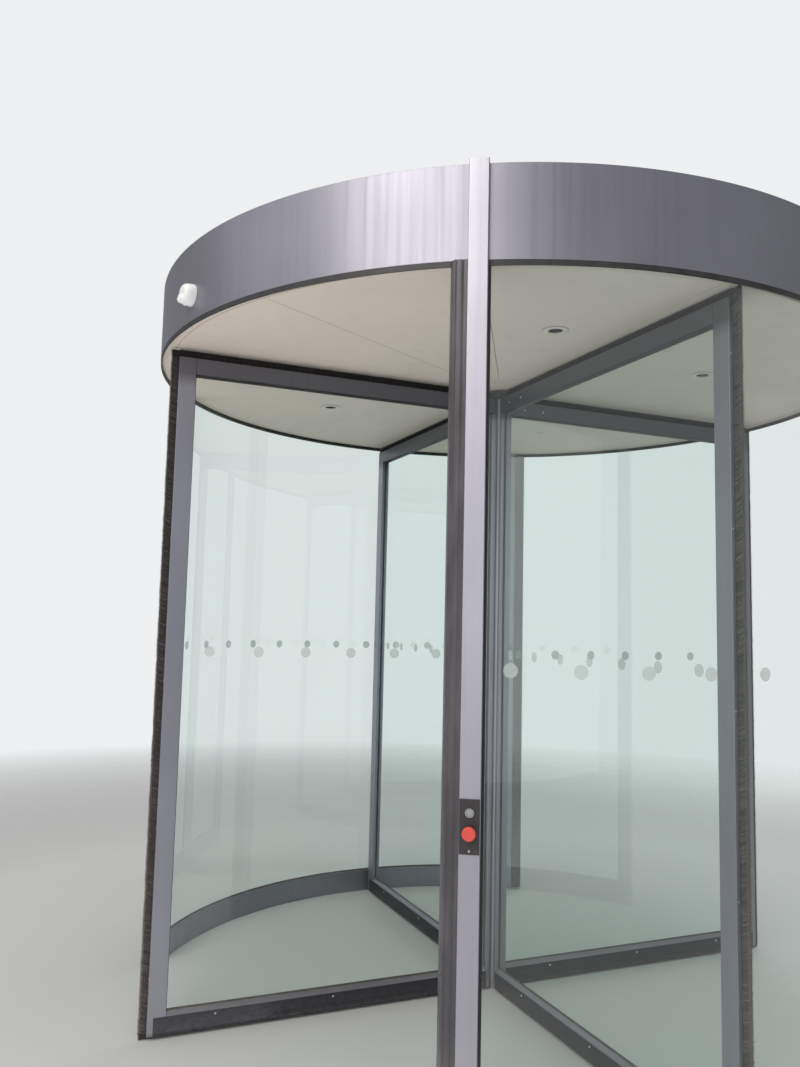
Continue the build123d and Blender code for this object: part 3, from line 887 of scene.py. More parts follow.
class DOOR_OT_wing_frames(bpy.types.Operator):
    """Builds the bars of the four wing frames with glazing beads, gaskets, brush carriers and screws"""

    bl_idname = "door.wing_frames"
    bl_label = "Wing frames"

    def bars(self, trim, wing):
        """Stiles and rails of one wing along -Y, and how much painted darkening each point gets: the canopy's
        painted shade on the head rail and the stiles' tops, and a darker foot rail. Each is a straight bar
        over its own section."""
        half, slot, deep = wing.half, wing.pane + PANE_PLAY, trim.glass_bite + PANE_PLAY
        groove, outer, edge = trim.brush_groove, -wing.outer, -wing.sight_outer
        bottom = outer + trim.groove_depth
        stile = mirrored([
            (groove, bottom), (groove, outer), (half, outer), (half, edge), (slot, edge), (slot, edge - deep),
        ])
        inner, edge = -wing.inner, -wing.sight_inner
        hub_stile = mirrored([(slot, edge + deep), (slot, edge), (half, edge), (half, inner)])
        low, bead, lip = wing.sight_low, wing.sight_low + trim.bead_rise, slot + trim.bead_lip
        foot = mirrored([(half, wing.foot), (half, low), (lip, bead), (slot, bead), (slot, low - deep)])
        high = wing.sight_high
        head = mirrored([(slot, high + deep), (slot, high), (half, high), (half, wing.head)])
        shade_start, soft = high - trim.dark_fade, trim.corner / 2
        stiles = [
            upright(rounded(section, trim.corner), wing.foot, wing.head, soft, (shade_start, high))
            for section in (stile, hub_stile)
        ]
        start, end = wing.sight_inner + trim.joint, wing.sight_outer - trim.joint
        rails = [along_wing(rounded(section, trim.corner), start, end) for section in (foot, head)]
        # Painted shade: the stiles darken over the fade length below the head rail, the head rail is darkened
        # all along as the canopy's shade, and the foot rail is painted darker by its own share.
        shade_fades = [np.clip((bar[0][:, 2] - shade_start) / trim.dark_fade, 0.0, 1.0) for bar in stiles]
        dark = [trim.dark_head * fade for fade in shade_fades]
        dark += [np.full(len(bar[0]), share) for bar, share in zip(rails, (trim.dark_foot, trim.dark_head))]
        return joined(stiles + rails), np.concatenate(dark)

    def gaskets(self, trim, wing):
        """Black wedges between pane and frame: a small section along the foot and both sides of the pane, and
        a wide one under the head rail. That one is its gasket and, past it, a black sheet as painted shade on
        the rail's underside."""
        face, soft, thin, step = wing.pane + 0.0001, 0.0006, 0.0008, 0.002
        low, high = wing.sight_low + trim.bead_rise, wing.sight_high
        tall, drop = trim.gasket, trim.gasket * 1.5
        wedge = np.array([(0.0, 0.0), (trim.gasket_foot, 0.0), (thin, tall), (0.0, tall)])
        # Painted shade: beyond the real gasket, the wide wedge blackens the head rail's underside as its
        # shade.
        wide_gasket_and_shade = np.array([
            (0.0, high), (trim.head_gasket, high), (trim.head_gasket, high - step), (step, high - drop),
            (0.0, high - drop),
        ])
        parts = []
        for side in (-1, 1):
            small = rounded((wedge + [face, 0.0]) * [side, 1.0], soft, 2)
            large_gasket_and_shade = rounded((wide_gasket_and_shade + [face, 0.0]) * [side, 1.0], soft, 2)
            parts.append(along_wing(small + [0.0, low], wing.sight_inner, wing.sight_outer))
            parts.append(along_wing(large_gasket_and_shade, wing.sight_inner, wing.sight_outer))
            for way, edge in ((1.0, wing.sight_outer), (-1.0, wing.sight_inner)):
                section = small * [1.0, way] - [0.0, edge]
                parts.append(upright(section, wing.sight_low, high + trim.bead_rise))
        return joined(parts)

    def carriers(self, trim, wing):
        """Dark brush carrier on both faces of the foot: a flat strip with soft edges and a shallow groove."""
        overlap, line_width, low_bevel, high_bevel, gap = 0.0005, 0.015, 0.0015, 0.002, 0.001
        back, face = wing.half - overlap, wing.half + trim.carrier_proud
        sunk = wing.half + trim.carrier_proud * 0.25
        low, line, top = wing.foot, wing.foot + trim.carrier_line, wing.foot + trim.carrier_height
        line_top = line + line_width
        section = np.array([
            (back, low), (face, low), (face, line), (sunk, line + low_bevel), (sunk, line_top - high_bevel),
            (face, line_top), (face, top), (back, top),
        ])
        start, end = wing.sight_inner + gap, wing.outer - trim.carrier_short
        return joined([
            along_wing(rounded(section * [side, 1.0], trim.carrier_soft, 2), start, end) for side in (-1, 1)
        ])

    def screws(self, trim, wing):
        """Screws on both faces of the head rail by the hub, of the foot's carrier and in the outer stile."""
        face = wing.half + trim.carrier_proud
        head_level, foot_level = wing.head - trim.head_screw_drop, wing.foot + trim.foot_screw_rise
        parts = []
        for side in (-1, 1):
            head = facing(screw(trim.screw_radius, 0.0022), (side, 0.0, 0.0))
            parts += [shifted(head, side * wing.half, -distance, head_level) for distance in HEAD_SCREWS]
            small = facing(screw(trim.screw_radius * 0.8, 0.0016), (side, 0.0, 0.0))
            parts += [shifted(small, side * face, -distance, foot_level) for distance in FOOT_SCREWS]
        tiny = facing(screw(trim.screw_radius * 0.6, 0.001), (0.0, -1.0, 0.0))
        for level in STILE_SCREWS:
            parts += [shifted(tiny, side * wing.half * 0.68, -wing.outer, level) for side in (-1, 1)]
        return joined(parts)

    def execute(self, context):
        trim = context.scene.door_wing_trim
        for number in WINGS:
            wing = wing_sizes(number, trim)
            name, angle = f"wing_{number}_", wing.angle
            bars, dark = self.bars(trim, wing)
            # The mark dark carries the painted shade into the frame's paint.
            piece = build(name + "bars", bars, angle, "frame", "rotor", marks={"dark": dark})
            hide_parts(f"wing_{number}_frame")
            build(name + "gaskets", self.gaskets(trim, wing), angle, "sealant", "rotor")
            build(name + "brush_carrier", self.carriers(trim, wing), angle, "carrier", "rotor")
            build(name + "screws", self.screws(trim, wing), angle, "zinc", "rotor")
        return {"FINISHED"}


class DOOR_OT_brushes(bpy.types.Operator):
    """Builds the pile brushes of the wings from leaning tufts with a worn, uneven edge"""

    bl_idname = "door.brushes"
    bl_label = "Brushes"

    def waves(self, s, seed, shortest, longest):
        """Smooth random height along a line, from -1 to 1: six sines with random pitch, phase and weight."""
        draw = np.random.default_rng(seed)
        pitch = np.exp(draw.uniform(math.log(shortest), math.log(longest), 6))[:, None]
        phase = draw.uniform(0, 2 * math.pi, 6)[:, None]
        weight = draw.uniform(0.5, 1.0, 6)[:, None]
        total = (weight * np.sin(2 * math.pi * s[None, :] / pitch + phase)).sum(axis=0)
        return total / weight.sum()

    def tufts(self, look, length, depth, seed, lean, ragged):
        """Tufts along x from 0 to length that stand up to depth: each is a three-sided spike with a bent
        back. Its ring at a share of its height leans by share^1.6, fans out by share and gets slimmer."""
        count = int(length / look.tuft)
        draw = np.random.default_rng(seed)
        row = np.repeat(np.arange(look.rows), count)
        s = np.tile((np.arange(count) + 0.5) * length / count, look.rows)
        s = s + draw.uniform(-0.45, 0.45, len(s)) * look.tuft
        across = ((row + 0.5) / look.rows - 0.5) * look.width * 0.86 + draw.normal(0, 0.0005, len(s))
        worn = 0.5 + 0.5 * self.waves(s, seed + 1, 0.025, 0.22)
        height = depth - ragged * (0.75 * worn ** 2 + 0.25 * draw.uniform(0, 1, len(s)))
        push = look.lean * (lean + 0.7 * self.waves(s, seed + 2, 0.05, 0.30)) + draw.normal(0, 0.0014, len(s))
        fan = across * 0.22 + draw.normal(0, 0.0008, len(s))
        fat = look.tuft * 0.72
        share = np.array([0.0, 0.55, 1.0])
        slim = np.array([1.0, 0.80, 0.22])
        corner = np.array([(-0.87, -0.5), (0.87, -0.5), (0.0, 1.0)])
        bend, spread = (push[:, None] * share ** 1.6)[..., None], (fan[:, None] * share)[..., None]
        ring_s = s[:, None, None] + bend + fat * slim[:, None] * corner[:, 0]
        ring_x = across[:, None, None] + spread + fat * slim[:, None] * corner[:, 1]
        ring_z = np.broadcast_to((height[:, None] * share)[..., None], ring_s.shape)
        points = np.stack([np.clip(ring_s, 0.0, length), ring_x, ring_z], axis=-1)
        one = tube(np.stack([
            np.column_stack([corner[:, 0] * w, corner[:, 1] * w, np.full(3, h)])
            for w, h in zip(slim, share)
        ]))
        tones = np.repeat(draw.uniform(0.0, 1.0, len(s)) ** 2, share.size * len(corner))
        return copies(one, points.reshape(len(s), -1, 3)), tones

    def core(self, look, length, depth):
        """Dense middle of a brush, lower and slimmer than its tufts, so that no light shows through."""
        half = look.width * 0.40
        outline = rounded(rectangle(-half, half, 0.0, depth), half * 0.6)
        return tube(np.stack([
            np.column_stack([np.full(len(outline), s), outline[:, 0], outline[:, 1]]) for s in (0.0, length)
        ]))

    def brush(self, look, length, depth, seed, lean, ragged, place):
        """Tufts and core of one straight brush, and the tone and tip of each point. Place carries how far
        along, across and out a point lies to x, y and z."""
        tufts, tones = self.tufts(look, length, depth, seed, lean, ragged)
        core = self.core(look, length, depth - ragged)
        points, faces = joined([tufts, core])
        along, across, out = points.T
        shape = outward((np.stack(place(along, across, out), axis=-1), faces))
        return shape, np.concatenate([tones, np.zeros(len(core[0]))]), out / out.max()

    def brushes(self, look, wing, seed):
        """The side, head and foot brush of one wing, with their marks."""
        overlap, lean, gap = 0.001, 0.2, look.end_gap
        root, bottom, top = wing.outer - look.sunk, wing.foot - look.hang, wing.head - overlap
        hub, start, end = reach("hub_collar")[1] + gap, wing.inner + gap, wing.outer - gap
        side = self.brush(
            look, wing.brush_head - look.head_gap - bottom, wing.brush_tip + look.over - root, seed,
            look.lean_side, look.ragged, lambda along, across, out: (across, -(out + root), along + bottom))
        head = self.brush(
            look, end - hub, wing.brush_head + look.over_head - top, seed + 10, -lean,
            look.ragged_head, lambda along, across, out: (across, -(along + hub), out + top))
        foot = self.brush(
            look, end - start, wing.foot - wing.brush_foot + look.over_foot, seed + 20, lean,
            look.ragged_head, lambda along, across, out: (across, -(along + start), wing.foot - out))
        shapes, tones, tips = zip(side, head, foot)
        # Painted light in part: the side brush is fully marked and shows brown, the head brush is unmarked
        # and stays black, partly as painted shade, and the foot lies between.
        faded = [
            np.where(shapes[0][0][:, 2] < wing.head, 1.0, 0.0), np.zeros(len(tones[1])),
            np.full(len(tones[2]), look.foot_faded_and_lit),
        ]
        marks = {"tip": np.concatenate(tips), "faded": np.concatenate(faded), "tone": np.concatenate(tones)}
        return joined(shapes), marks

    def execute(self, context):
        look = context.scene.door_brushes
        for number in WINGS:
            wing = wing_sizes(number, context.scene.door_wing_trim)
            shape, marks = self.brushes(look, wing, 100 * number)
            piece = build(f"wing_{number}_pile", shape, wing.angle, "pile", "rotor",
                          smooth_angle=60.0, large_faces=False, marks=marks)
            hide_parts(f"wing_{number}_brushes")
        return {"FINISHED"}


class DOOR_OT_curved_walls(bpy.types.Operator):
    """Builds the curved panes, their borders and gaskets, the floor rails, and all frosted dots"""

    bl_idname = "door.curved_walls"
    bl_label = "Curved walls"

    def border(self, trim, radius, start, end, low, high):
        """Black border on a curved pane: a band between the pane's outline and an inner outline with round
        corners. A point at (u, v) on the flat border lies at angle u / radius and level v."""
        steps = 10
        width = math.radians(end - start) * radius
        side, r = trim.border, trim.border_corner
        bottom, top = low + trim.foot_border + r, high - trim.top_border - r
        centres = rectangle(side + r, width - side - r, bottom, top)
        quarter = np.linspace(0, math.pi / 2, steps)
        inner = np.concatenate([
            np.column_stack([x + r * np.cos(quarter + turned), z + r * np.sin(quarter + turned)])
            for (x, z), turned in zip(centres, np.arange(2, 6) * math.pi / 2)
        ])
        middle = np.array([width / 2, (low + high) / 2])
        away = inner - middle
        half = np.array([width / 2, (high - low) / 2])
        outer = middle + away * np.min(half / np.maximum(np.abs(away), 1e-9), axis=1, keepdims=True)
        outer[steps // 2::steps] = rectangle(0.0, width, low, high)
        stretches = [np.abs(np.roll(loop, -1, axis=0) - loop)[:, 0] for loop in (inner, outer)]
        cuts = np.maximum(np.ceil(np.maximum(*stretches) / trim.border_step).astype(int), 1)
        inner, outer = self.filled(inner, cuts), self.filled(outer, cuts)
        rings, face = [], radius + trim.film
        for out, loop in ((radius, inner), (radius, outer), (face, outer), (face, inner)):
            rings.append(polar(out, math.radians(start) + loop[:, 0] / radius, loop[:, 1]))
        return tube(np.stack(rings), closed_path=True)

    def filled(self, loop, cuts):
        """A closed outline with each stretch cut into even pieces, so that it follows the curved pane."""
        start = np.repeat(loop, cuts, axis=0)
        step = np.repeat((np.roll(loop, -1, axis=0) - loop) / cuts[:, None], cuts, axis=0)
        place = np.arange(cuts.sum()) - np.repeat(np.cumsum(cuts) - cuts, cuts)
        return start + step * place[:, None]

    def rail(self, trim, node, turn_by, pane_inner, pane_outer):
        """Floor rail round the axis: a section with a groove for the pane and a fine line below its top."""
        inner, outer = reach(node)
        top = levels(node)[1]
        line_width, line_depth, lip = 0.003, 0.0012, 0.0005
        line, sunk = top - trim.rail_line, outer - line_depth
        line_low = line - line_width
        bottom = top - trim.glass_bite - PANE_PLAY
        section = rounded([
            (inner, 0.0), (outer, 0.0), (outer, line_low), (sunk, line_low + lip), (sunk, line - lip),
            (outer, line), (outer, top), (pane_outer + PANE_PLAY, top), (pane_outer + PANE_PLAY, bottom),
            (pane_inner - PANE_PLAY, bottom), (pane_inner - PANE_PLAY, top), (inner, top),
        ], trim.corner * 0.7)
        start, end = span(node, turn_by)
        short = 0.02
        return arc_bar(section, start + short, end - short)

    def wall_dots(self, count, first, radius, dot_radius, level):
        """Frosted dots on a curved pane: the flat film's sideways distance u becomes the angle u / radius."""
        points, faces = facing(disc(dot_radius), (0.0, -1.0, 0.0))
        bent = polar(radius + FILM_LIFT - points[:, 1], points[:, 0] / radius, points[:, 2] + level)
        return joined([(turn(bent, angle), faces) for angle in np.linspace(first, 180.0 - first, count)])

    def wall(self, trim, wing_trim, side, turn_by):
        """One curved wall: its pane, floor rail, borders with gaskets, and dots."""
        pane, rail = "wall_glass_" + side, "base_rail_" + side
        inner, outer = reach(pane)
        low, high = levels(pane)
        rail_top = levels(rail)[1]
        start, end = span(pane, turn_by)
        soft = 0.0008
        glass = arc_bar(rounded(rectangle(inner, outer, low, high), soft, 2), start, end, step=0.25)
        piece = build("curved_pane_" + side, glass, turn_by, "glass", "drum")
        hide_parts(pane)
        bar = self.rail(trim, rail, turn_by, inner, outer)
        piece = build("floor_rail_" + side, bar, turn_by, "frame", "drum")
        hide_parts(rail)
        parts = [
            self.border(trim, radius, start, end, rail_top, high - FILM_LIFT)
            for radius in (outer + FILM_LIFT, inner - FILM_LIFT - trim.film)
        ]
        size, thin = trim.gasket, 0.001
        for radius, away in ((outer, 1), (inner, -1)):
            wedge = [(radius, rail_top), (radius + away * size, rail_top),
                     (radius + away * thin, rail_top + size), (radius, rail_top + size)]
            parts.append(arc_bar(rounded(wedge, soft, 2), start, end))
        build("pane_border_" + side, joined(parts), turn_by, "sealant", "drum")
        dots = self.wall_dots(trim.dots, math.degrees(trim.first_dot), outer, wing_trim.dot_radius,
                              wing_trim.dot_height)
        build("wall_dots_" + side, dots, turn_by, "film", "drum")

    def execute(self, context):
        wing_trim = context.scene.door_wing_trim
        for side, turn_by in WALLS:
            self.wall(context.scene.door_wall_trim, wing_trim, side, turn_by)
        dot = facing(disc(wing_trim.dot_radius), (1.0, 0.0, 0.0))
        for number in WINGS:
            wing = wing_sizes(number, wing_trim)
            face, level = wing.pane + FILM_LIFT, wing_trim.dot_height
            distances = np.arange(wing_trim.first_dot, wing_trim.last_dot, -wing_trim.dot_pitch)
            dots = joined([shifted(dot, face, -distance, level) for distance in distances])
            build(f"wing_{number}_dots", dots, wing.angle, "film", "rotor")
        return {"FINISHED"}


class DOOR_OT_posts(bpy.types.Operator):
    """Builds the end posts with their covers, side gaskets and the ribbed safety edges"""

    bl_idname = "door.posts"
    bl_label = "Posts and safety edges"

    def post(self, trim, name, way):
        """One end post: its body behind a wider flat cover, and the gasket beside its pane."""
        node = "post_" + name
        angle = heading(node)
        low, high = turned_back(node, angle)
        fascia, half = -reach("fascia_front")[1], high[0]
        pane = -reach("wall_glass_right")[1]
        body_top = levels("wall_glass_right")[1]
        cover = rounded(rectangle(-half, half, low[1], fascia), trim.corner)
        cover = upright(cover, low[2], high[2], trim.cover_soft)
        body_half = half - trim.cover_lap
        overlap = 0.001
        body = rectangle(-body_half, body_half, fascia - overlap, -reach("base_rail_right")[0])
        body = upright(rounded(body, trim.corner * 0.6), low[2], body_top)
        piece = build(node + "_cover", joined([cover, body]), angle, "cover", "drum")
        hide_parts(node)
        near, far, back = half * way, (half + trim.side_gasket) * way, pane + FILM_LIFT
        thick, thin = 0.0065, 0.0035
        strip = [(near, pane - thick), (far, pane - thin), (far, back), (near, back)]
        gasket = upright(rounded(strip, 0.0012), levels("base_rail_right")[1], body_top - trim.seal)
        build(node + "_gasket", gasket, angle, "sealant", "drum")

    def ribbed_edge(self, trim, low, high):
        """Safety edge with n ribs. At share u of its width the face is set back from its front by
        depth |cos(pi (n - 1/2) u)|^4, and where 3.2 u < 1 also by 0.55 thickness (1 - 3.2 u)^2.2."""
        n = trim.edge_ribs
        u = np.linspace(0.0, 1.0, 24 * n + 1)
        left, right = low[0], high[0]
        outer, inner = -low[1], -high[1]
        groove = np.abs(np.cos(math.pi * (n - 0.5) * u)) ** 4
        shoulder = np.clip(1.0 - u * 3.2, 0.0, 1.0) ** 2.2
        face_radius = outer - trim.edge_rib_depth * groove - shoulder * (outer - inner) * 0.55
        face = np.column_stack([left + (right - left) * u, -face_radius])
        back = np.array([(right, 0.0), (left + 0.010, 0.0), (left + 0.003, -0.003), (left, -0.009)])
        return upright(np.concatenate([face, back - [0.0, inner]]), low[2], high[2], 0.0015)

    def execute(self, context):
        trim = context.scene.door_wall_trim
        for name, way in POSTS:
            self.post(trim, name, way)
        angle = heading("control_plate_front")
        points = turn(node_points("safety_edges"), -angle)
        points = points[points[:, 1] < 0]
        edge = self.ribbed_edge(trim, points.min(axis=0), points.max(axis=0))
        edges = joined([turned_shape(edge, turn_by) for _, turn_by in ENTRANCES])
        piece = build("ribbed_safety_edges", edges, angle, "glossy_rubber", "drum",
                      smooth_angle=50.0)
        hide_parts("safety_edges")
        return {"FINISHED"}


class DOOR_OT_controls(bpy.types.Operator):
    """Builds the stop buttons and the fittings on their plates"""

    bl_idname = "door.controls"
    bl_label = "Stop buttons"

    def stop_head(self, radius, thick, stem, foot):
        """Emergency stop along +Z with its top at 0: a stem from its foot, and a round dished head."""
        return turned_solid([
            (stem * 0.98, foot), (stem, foot + 0.001), (stem, -thick), (radius * 0.86, -thick),
            (radius * 0.97, -thick + 0.0014), (radius, -thick + 0.004), (radius, -0.0032),
            (radius * 0.965, -0.0012), (radius * 0.90, -0.0002), (radius * 0.82, 0.0),
            (radius * 0.55, -0.0009), (radius * 0.25, -0.0013), (radius * 0.04, -0.0014),
        ], 56)

    def sleeve(self, radius):
        """Collar on the plate round the stem."""
        return full_ring([
            (radius * 0.60, -0.0003), (radius * 0.60, 0.0024), (radius * 0.54, 0.0036),
            (radius * 0.46, 0.0036), (radius * 0.46, -0.0003),
        ], 48)

    def key_switch(self, radius, lift):
        """Round key switch along +Z: a bevelled bezel round a sunken barrel that has a raised key way."""
        bezel = turned_solid([
            (radius, -0.0004), (radius, lift * 0.55), (radius * 0.94, lift), (radius * 0.70, lift),
            (radius * 0.66, lift * 0.55), (radius * 0.62, lift * 0.50), (radius * 0.60, lift * 0.85),
            (radius * 0.54, lift * 0.95), (radius * 0.05, lift * 0.95),
        ], 48)
        way = upright(rounded(rectangle(-0.0011, 0.0011, -0.0042, 0.0042), 0.0005), lift * 0.9, lift * 1.12)
        return joined([bezel, way])

    def execute(self, context):
        trim = context.scene.door_fitting_trim
        for side, _ in ENTRANCES:
            node = "stop_button_" + side
            angle = heading(node)
            low, high = turned_back(node, angle)
            plate_low, plate_high = turned_back("control_plate_" + side, angle)
            radius, front, level = high[0], -low[1], (low[2] + high[2]) / 2
            plate = -plate_low[1]
            head = self.stop_head(radius, trim.stop_thickness, trim.stop_stem, plate - front)
            head = out_from_axis(head, front, level)
            piece = build("stop_head_" + side, head, angle, "stop", side + "_stop")
            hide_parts(node)
            fittings = joined([
                out_from_axis(self.sleeve(radius), plate, level),
                out_from_axis(screw(trim.plate_screw, 0.0018), plate, plate_low[2] + trim.plate_screw_rise),
                out_from_axis(self.key_switch(trim.key_radius, 0.0032), plate, plate_high[2] - trim.key_drop),
            ])
            build("stop_fittings_" + side, fittings, angle, "steel", "drum")
        return {"FINISHED"}


class DOOR_OT_sensors(bpy.types.Operator):
    """Builds the round motion sensors on the fascia"""

    bl_idname = "door.sensors"
    bl_label = "Motion sensors"

    def body(self, radius, deep, fascia, level):
        """Round base and dome that stand on the fascia: radius 0.54 r + 0.43 r cos(v)^0.8, with v up to 90
        degrees. Points that would sink into the round fascia are set on it."""
        v = np.linspace(0.06, 1.0, 14) * math.pi / 2
        dome = np.column_stack([
            radius * 0.54 + radius * 0.43 * np.cos(v) ** 0.8, 0.0125 + (deep - 0.0245) * np.sin(v),
        ])
        profile = [
            (radius * 0.97, -0.001), (radius, 0.001), (radius, 0.0088), (radius * 0.985, 0.0098),
            (radius * 0.955, 0.0100), (radius * 0.955, 0.0112), (radius * 0.975, 0.0116), *dome,
            (radius * 0.30, deep - 0.0120), (radius * 0.05, deep - 0.0119),
        ]
        points, faces = out_from_axis(turned_solid(profile, 64), fascia, level)
        sheet = 0.0006 - np.sqrt(np.maximum(fascia ** 2 - points[:, 0] ** 2, 0.0))
        points[:, 1] = np.where(points[:, 1] > -fascia, sheet, points[:, 1])
        return points, faces

    def eye(self, ball, distance, level):
        """Ball that looks out of the dome, and the collar that holds it."""
        v = np.linspace(-0.98, 0.98, 20) * math.pi / 2
        sphere = turned_solid(np.column_stack([ball * np.cos(v), ball * np.sin(v)]), 40)
        collar = full_ring([
            (ball * 1.02, -0.0015), (ball * 1.22, -0.0015), (ball * 1.16, 0.0025), (ball * 1.0, 0.0025),
        ], 40)
        return [shifted(sphere, y=-distance, z=level), out_from_axis(collar, distance - 0.008, level)]

    def window(self, ball, distance, level, tilt):
        """Flat window on the ball, which looks down by a tilt."""
        window = turned_solid([(0.0088, -0.001), (0.0088, 0.0006), (0.0078, 0.0012), (0.0010, 0.0016)], 32)
        out, up = -math.cos(tilt), -math.sin(tilt)
        near = ball * 0.985
        return shifted(facing(window, (0.0, out, up)), y=-distance + out * near, z=level + up * near)

    def execute(self, context):
        trim = context.scene.door_fitting_trim
        fascia = reach("fascia_front")[1]
        for (side, angle), node in zip(ENTRANCES, ("sensor_outside", "sensor_inside")):
            low, high = turned_back(node, angle)
            radius, deep = high[0], -low[1] - fascia
            level = high[2] - radius
            ball, eye_level = trim.sensor_ball, level - trim.sensor_drop
            distance = fascia + deep - ball
            shape = joined([self.body(radius, deep, fascia, level), *self.eye(ball, distance, eye_level)])
            piece = build("motion_sensor_" + side, shape, angle, "sensor", "drum")
            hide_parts(node)
            window = self.window(ball, distance, eye_level, trim.sensor_tilt)
            build("sensor_window_" + side, window, angle, "sensor", "drum")
        return {"FINISHED"}


class DOOR_OT_canopy(bpy.types.Operator):
    """Builds the smooth fascia, the lamp fittings, the ceiling's joint and the roof's screws"""

    bl_idname = "door.canopy"
    bl_label = "Canopy"

    def fascia(self, trim, node):
        """One sheet of the fascia as a smooth arc."""
        angle = heading(node)
        sheet = rounded(rectangle(*reach(node), *levels(node)), trim.sheet_corner)
        half = span(node, angle)[1]
        sheet = arc_bar(sheet, -half, half, step=0.75)
        piece = build(node + "_sheet", sheet, angle, "canopy", "drum")
        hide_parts(node)

    def lamp_parts(self):
        """Rim, dark parts and lens of one recessed lamp at the ceiling's level 0. The dark parts are a cone,
        radius 0.0245 - 0.0085 t^1.5 at level 0.001 + 0.012 t, and a dark ring round the rim as its painted
        shadow."""
        t = np.linspace(0, 1, 9)
        cone = np.column_stack([0.0245 - 0.0085 * t ** 1.5, 0.001 + 0.012 * t])
        cone = full_ring(np.concatenate([cone, cone[::-1] + [0.0006, 0.0]]), 48)
        line = full_ring(rounded(rectangle(0.0425, 0.0441, -0.0009, 0.0002), 0.0003, 2), 64)
        lens = turned_solid([
            (0.0150, 0.016), (0.0150, 0.0120), (0.0142, 0.0112), (0.0128, 0.0118), (0.0118, 0.0125),
            (0.0100, 0.0085), (0.0072, 0.0056), (0.0038, 0.0042), (0.0004, 0.0038),
        ], 40)
        rim = full_ring(rounded([
            (0.0252, -0.0030), (0.0280, -0.0034), (0.0330, -0.0031), (0.0400, -0.0027), (0.0430, -0.0021),
            (0.0434, -0.0012), (0.0425, -0.0008), (0.0252, -0.0008),
        ], 0.0006, 2), 64)
        return rim, joined([cone, line]), lens

    def execute(self, context):
        trim = context.scene.door_fitting_trim
        for side in ("front", "right", "back", "left"):
            self.fascia(trim, "fascia_" + side)
        level, place = levels("ceiling_panels")[0], reach("downlights")[1] - trim.rim_radius
        rim, dark, lens = [
            ringed(shifted(part, z=level), place, LIGHT_ANGLES) for part in self.lamp_parts()
        ]
        build("lamp_rims", rim, 0.0, "rim", "drum")
        # Painted shade: the near-black finish on the baffles and lens is partly their own dark colour and
        # partly the shade inside the recesses, and the ring round each rim is a painted shadow.
        build("lamp_baffles", dark, 0.0, "lens", "drum")
        build("lamp_reflectors", lens, 0.0, "lens", "drum")
        line, half = reach("wall_glass_right")[0] - trim.joint_setback, trim.joint_half
        below, above = 0.0007, 0.0003
        joint = rounded(rectangle(line - half, line + half, level - below, level + above), above)
        build("ceiling_joint", full_ring(joint, 240), 0.0, "joint", "drum")
        head = shifted(screw(trim.roof_screw, 0.003), z=levels("canopy_roof")[1])
        angles = (np.arange(trim.roof_screws) + 0.5) * 360.0 / trim.roof_screws
        screws = ringed(head, reach("canopy_roof")[1] - trim.roof_screw_inset, angles)
        build("roof_screws", screws, 0.0, "steel", "drum")
        return {"FINISHED"}


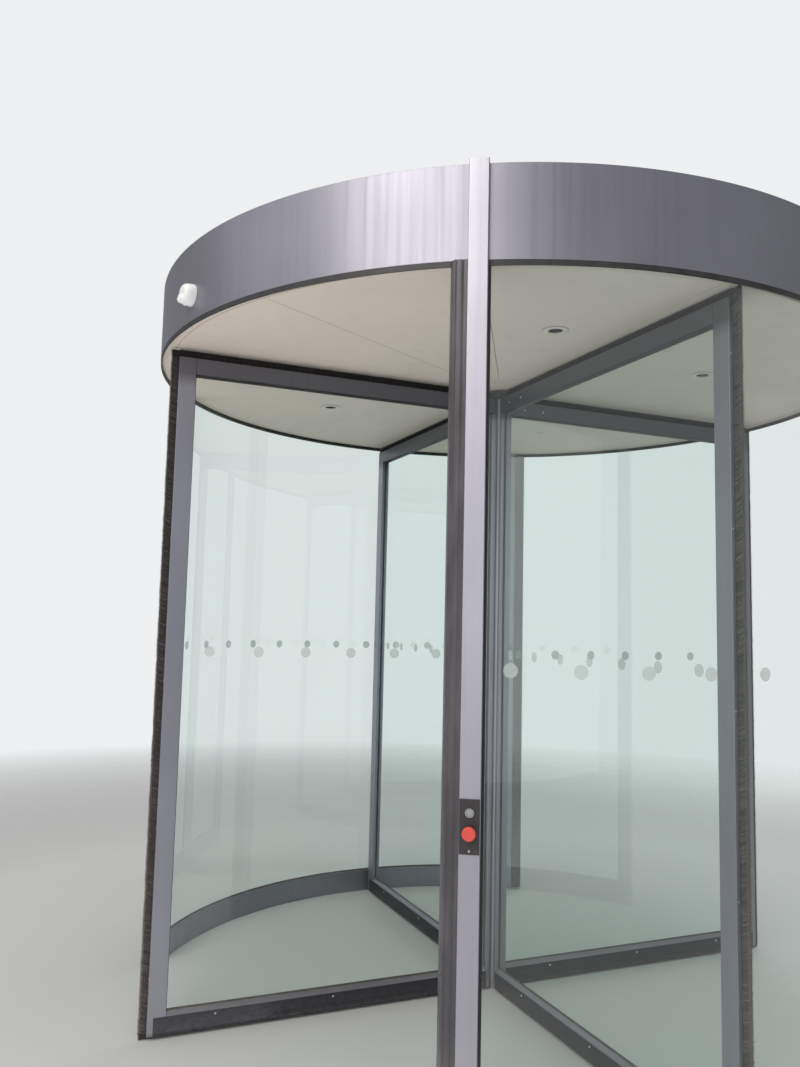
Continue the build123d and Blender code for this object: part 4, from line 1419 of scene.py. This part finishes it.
class DOOR_OT_stage(bpy.types.Operator):
    """Sets the camera, the lamps, the background and the floor"""

    bl_idname = "door.stage"
    bl_label = "Stage"

    def camera(self, stage):
        """Camera at the photograph's place: the frame's long side takes the sensor's width."""
        data = bpy.data.cameras.new("photo_camera")
        data.sensor_width = 36.0
        data.lens = stage.focal_pixels * data.sensor_width / stage.frame_height
        data.clip_end = 100.0
        turned, pitch, roll = stage.camera_heading, stage.camera_pitch, stage.camera_roll
        forward = np.array([
            math.sin(turned) * math.cos(pitch), math.cos(turned) * math.cos(pitch), math.sin(pitch),
        ])
        right = np.array([math.cos(turned), -math.sin(turned), 0.0])
        up = np.cross(right, forward)
        x = right * math.cos(roll) + up * math.sin(roll)
        y = -right * math.sin(roll) + up * math.cos(roll)
        place = polar(stage.camera_distance, stage.camera_angle, stage.camera_height)
        bpy.context.scene.camera = placed("photo_camera", data, x, y, -forward, place)

    def lamp(self, lamp, power):
        """Large soft rectangular lamp, which shines along its own -Z."""
        data = bpy.data.lights.new(lamp.name + "_lamp", "AREA")
        data.shape = "RECTANGLE"
        data.size, data.size_y = lamp.size
        data.energy = power
        data.color = lamp.colour
        place = polar(lamp.distance, math.radians(lamp.angle), lamp.height)
        if lamp.aim is None:
            axes = np.diag([1.0, -1.0, -1.0])
        else:
            axes = axes_along(place - [0.0, 0.0, lamp.aim])
        made = placed(lamp.name + "_lamp", data, *axes, place)
        made.visible_camera = False
        made.visible_transmission = False
        made.visible_glossy = lamp.mirrored

    def world(self, stage):
        """Even pale light, with the plain background for what is seen directly or through glass."""
        world = bpy.data.worlds.new("studio")
        nodes = Nodes(world)
        light = nodes.first("BACKGROUND")
        nodes.feed(light.inputs[0], plain(stage.world_colour))
        nodes.feed(light.inputs[1], stage.world_strength)
        seen = nodes.node("ShaderNodeBackground", {0: plain(stage.back_colour)})
        path = nodes.node("ShaderNodeLightPath").outputs
        rays = {0: path["Is Camera Ray"], 1: path["Is Transmission Ray"]}
        most = nodes.node("ShaderNodeMath", rays, operation="MAXIMUM")
        shaders = {0: most.outputs[0], 1: light.outputs[0], 2: seen.outputs[0]}
        mixed = nodes.node("ShaderNodeMixShader", shaders)
        nodes.feed(nodes.first("OUTPUT_WORLD").inputs[0], mixed.outputs[0])
        bpy.context.scene.world = world

    def floor(self, stage):
        """Round pale floor that fades into the background towards its rim."""
        colour = plain(stage.floor_colour)
        finish = Finish("studio_floor")
        tone = finish.mix(finish.noise(5.0, detail=4.0), shade(colour, 0.985), shade(colour, 1.015))
        finish.set(Base_Color=tone, Roughness=0.85, Specular_IOR_Level=0.2)
        away = finish.node("ShaderNodeVectorMath", {0: finish.place}, operation="LENGTH").outputs["Value"]
        fade = finish.spread(away, stage.floor_fade, stage.floor_end)
        finish.blend(fade, finish.node("ShaderNodeBsdfTransparent"))
        points, faces = turned_solid([(stage.floor_radius, -0.02), (stage.floor_radius, -0.0005)], 96)
        mesh = bpy.data.meshes.new("studio_floor")
        mesh.from_pydata(points.tolist(), [], [face for group in faces for face in group.tolist()])
        mesh.materials.append(finish.material)
        piece = bpy.data.objects.new("studio_floor", mesh)
        bpy.context.scene.collection.objects.link(piece)

    def execute(self, context):
        stage = context.scene.door_stage
        self.camera(stage)
        self.world(stage)
        for lamp in LAMPS:
            self.lamp(lamp, getattr(stage, lamp.name + "_power"))
        self.floor(stage)
        context.scene.view_settings.view_transform = "Standard"
        return {"FINISHED"}


class DOOR_PT_panel(bpy.types.Panel):
    """Lists the steps that dress the door"""

    bl_idname = "DOOR_PT_panel"
    bl_label = "Revolving Door"
    bl_space_type = "VIEW_3D"
    bl_region_type = "UI"
    bl_category = "Door"

    def draw(self, context):
        for operator in STEPS:
            self.layout.operator(operator.bl_idname)


SETTINGS = {
    "door_colours": DoorColours,
    "door_wing_trim": WingTrim,
    "door_brushes": BrushLook,
    "door_wall_trim": WallTrim,
    "door_fitting_trim": FittingTrim,
    "door_stage": StageSettings,
}
STEPS = (
    DOOR_OT_finishes, DOOR_OT_stage, DOOR_OT_wing_frames, DOOR_OT_brushes, DOOR_OT_curved_walls,
    DOOR_OT_posts, DOOR_OT_controls, DOOR_OT_sensors, DOOR_OT_canopy,
)


def register():
    """Makes the settings, steps and panel known to Blender."""
    for name, group in SETTINGS.items():
        bpy.utils.register_class(group)
        setattr(bpy.types.Scene, name, PointerProperty(type=group))
    for step in STEPS:
        bpy.utils.register_class(step)
    bpy.utils.register_class(DOOR_PT_panel)


def unregister():
    """Takes the panel, steps and settings away again."""
    bpy.utils.unregister_class(DOOR_PT_panel)
    for step in reversed(STEPS):
        bpy.utils.unregister_class(step)
    for name, group in reversed(SETTINGS.items()):
        delattr(bpy.types.Scene, name)
        bpy.utils.unregister_class(group)


def main():
    """Runs every step in order."""
    register()
    for step in STEPS:
        area, name = step.bl_idname.split(".")
        if getattr(getattr(bpy.ops, area), name)() != {"FINISHED"}:
            raise RuntimeError(f"{step.bl_label} didn't finish")


if __name__ == "__main__":
    main()
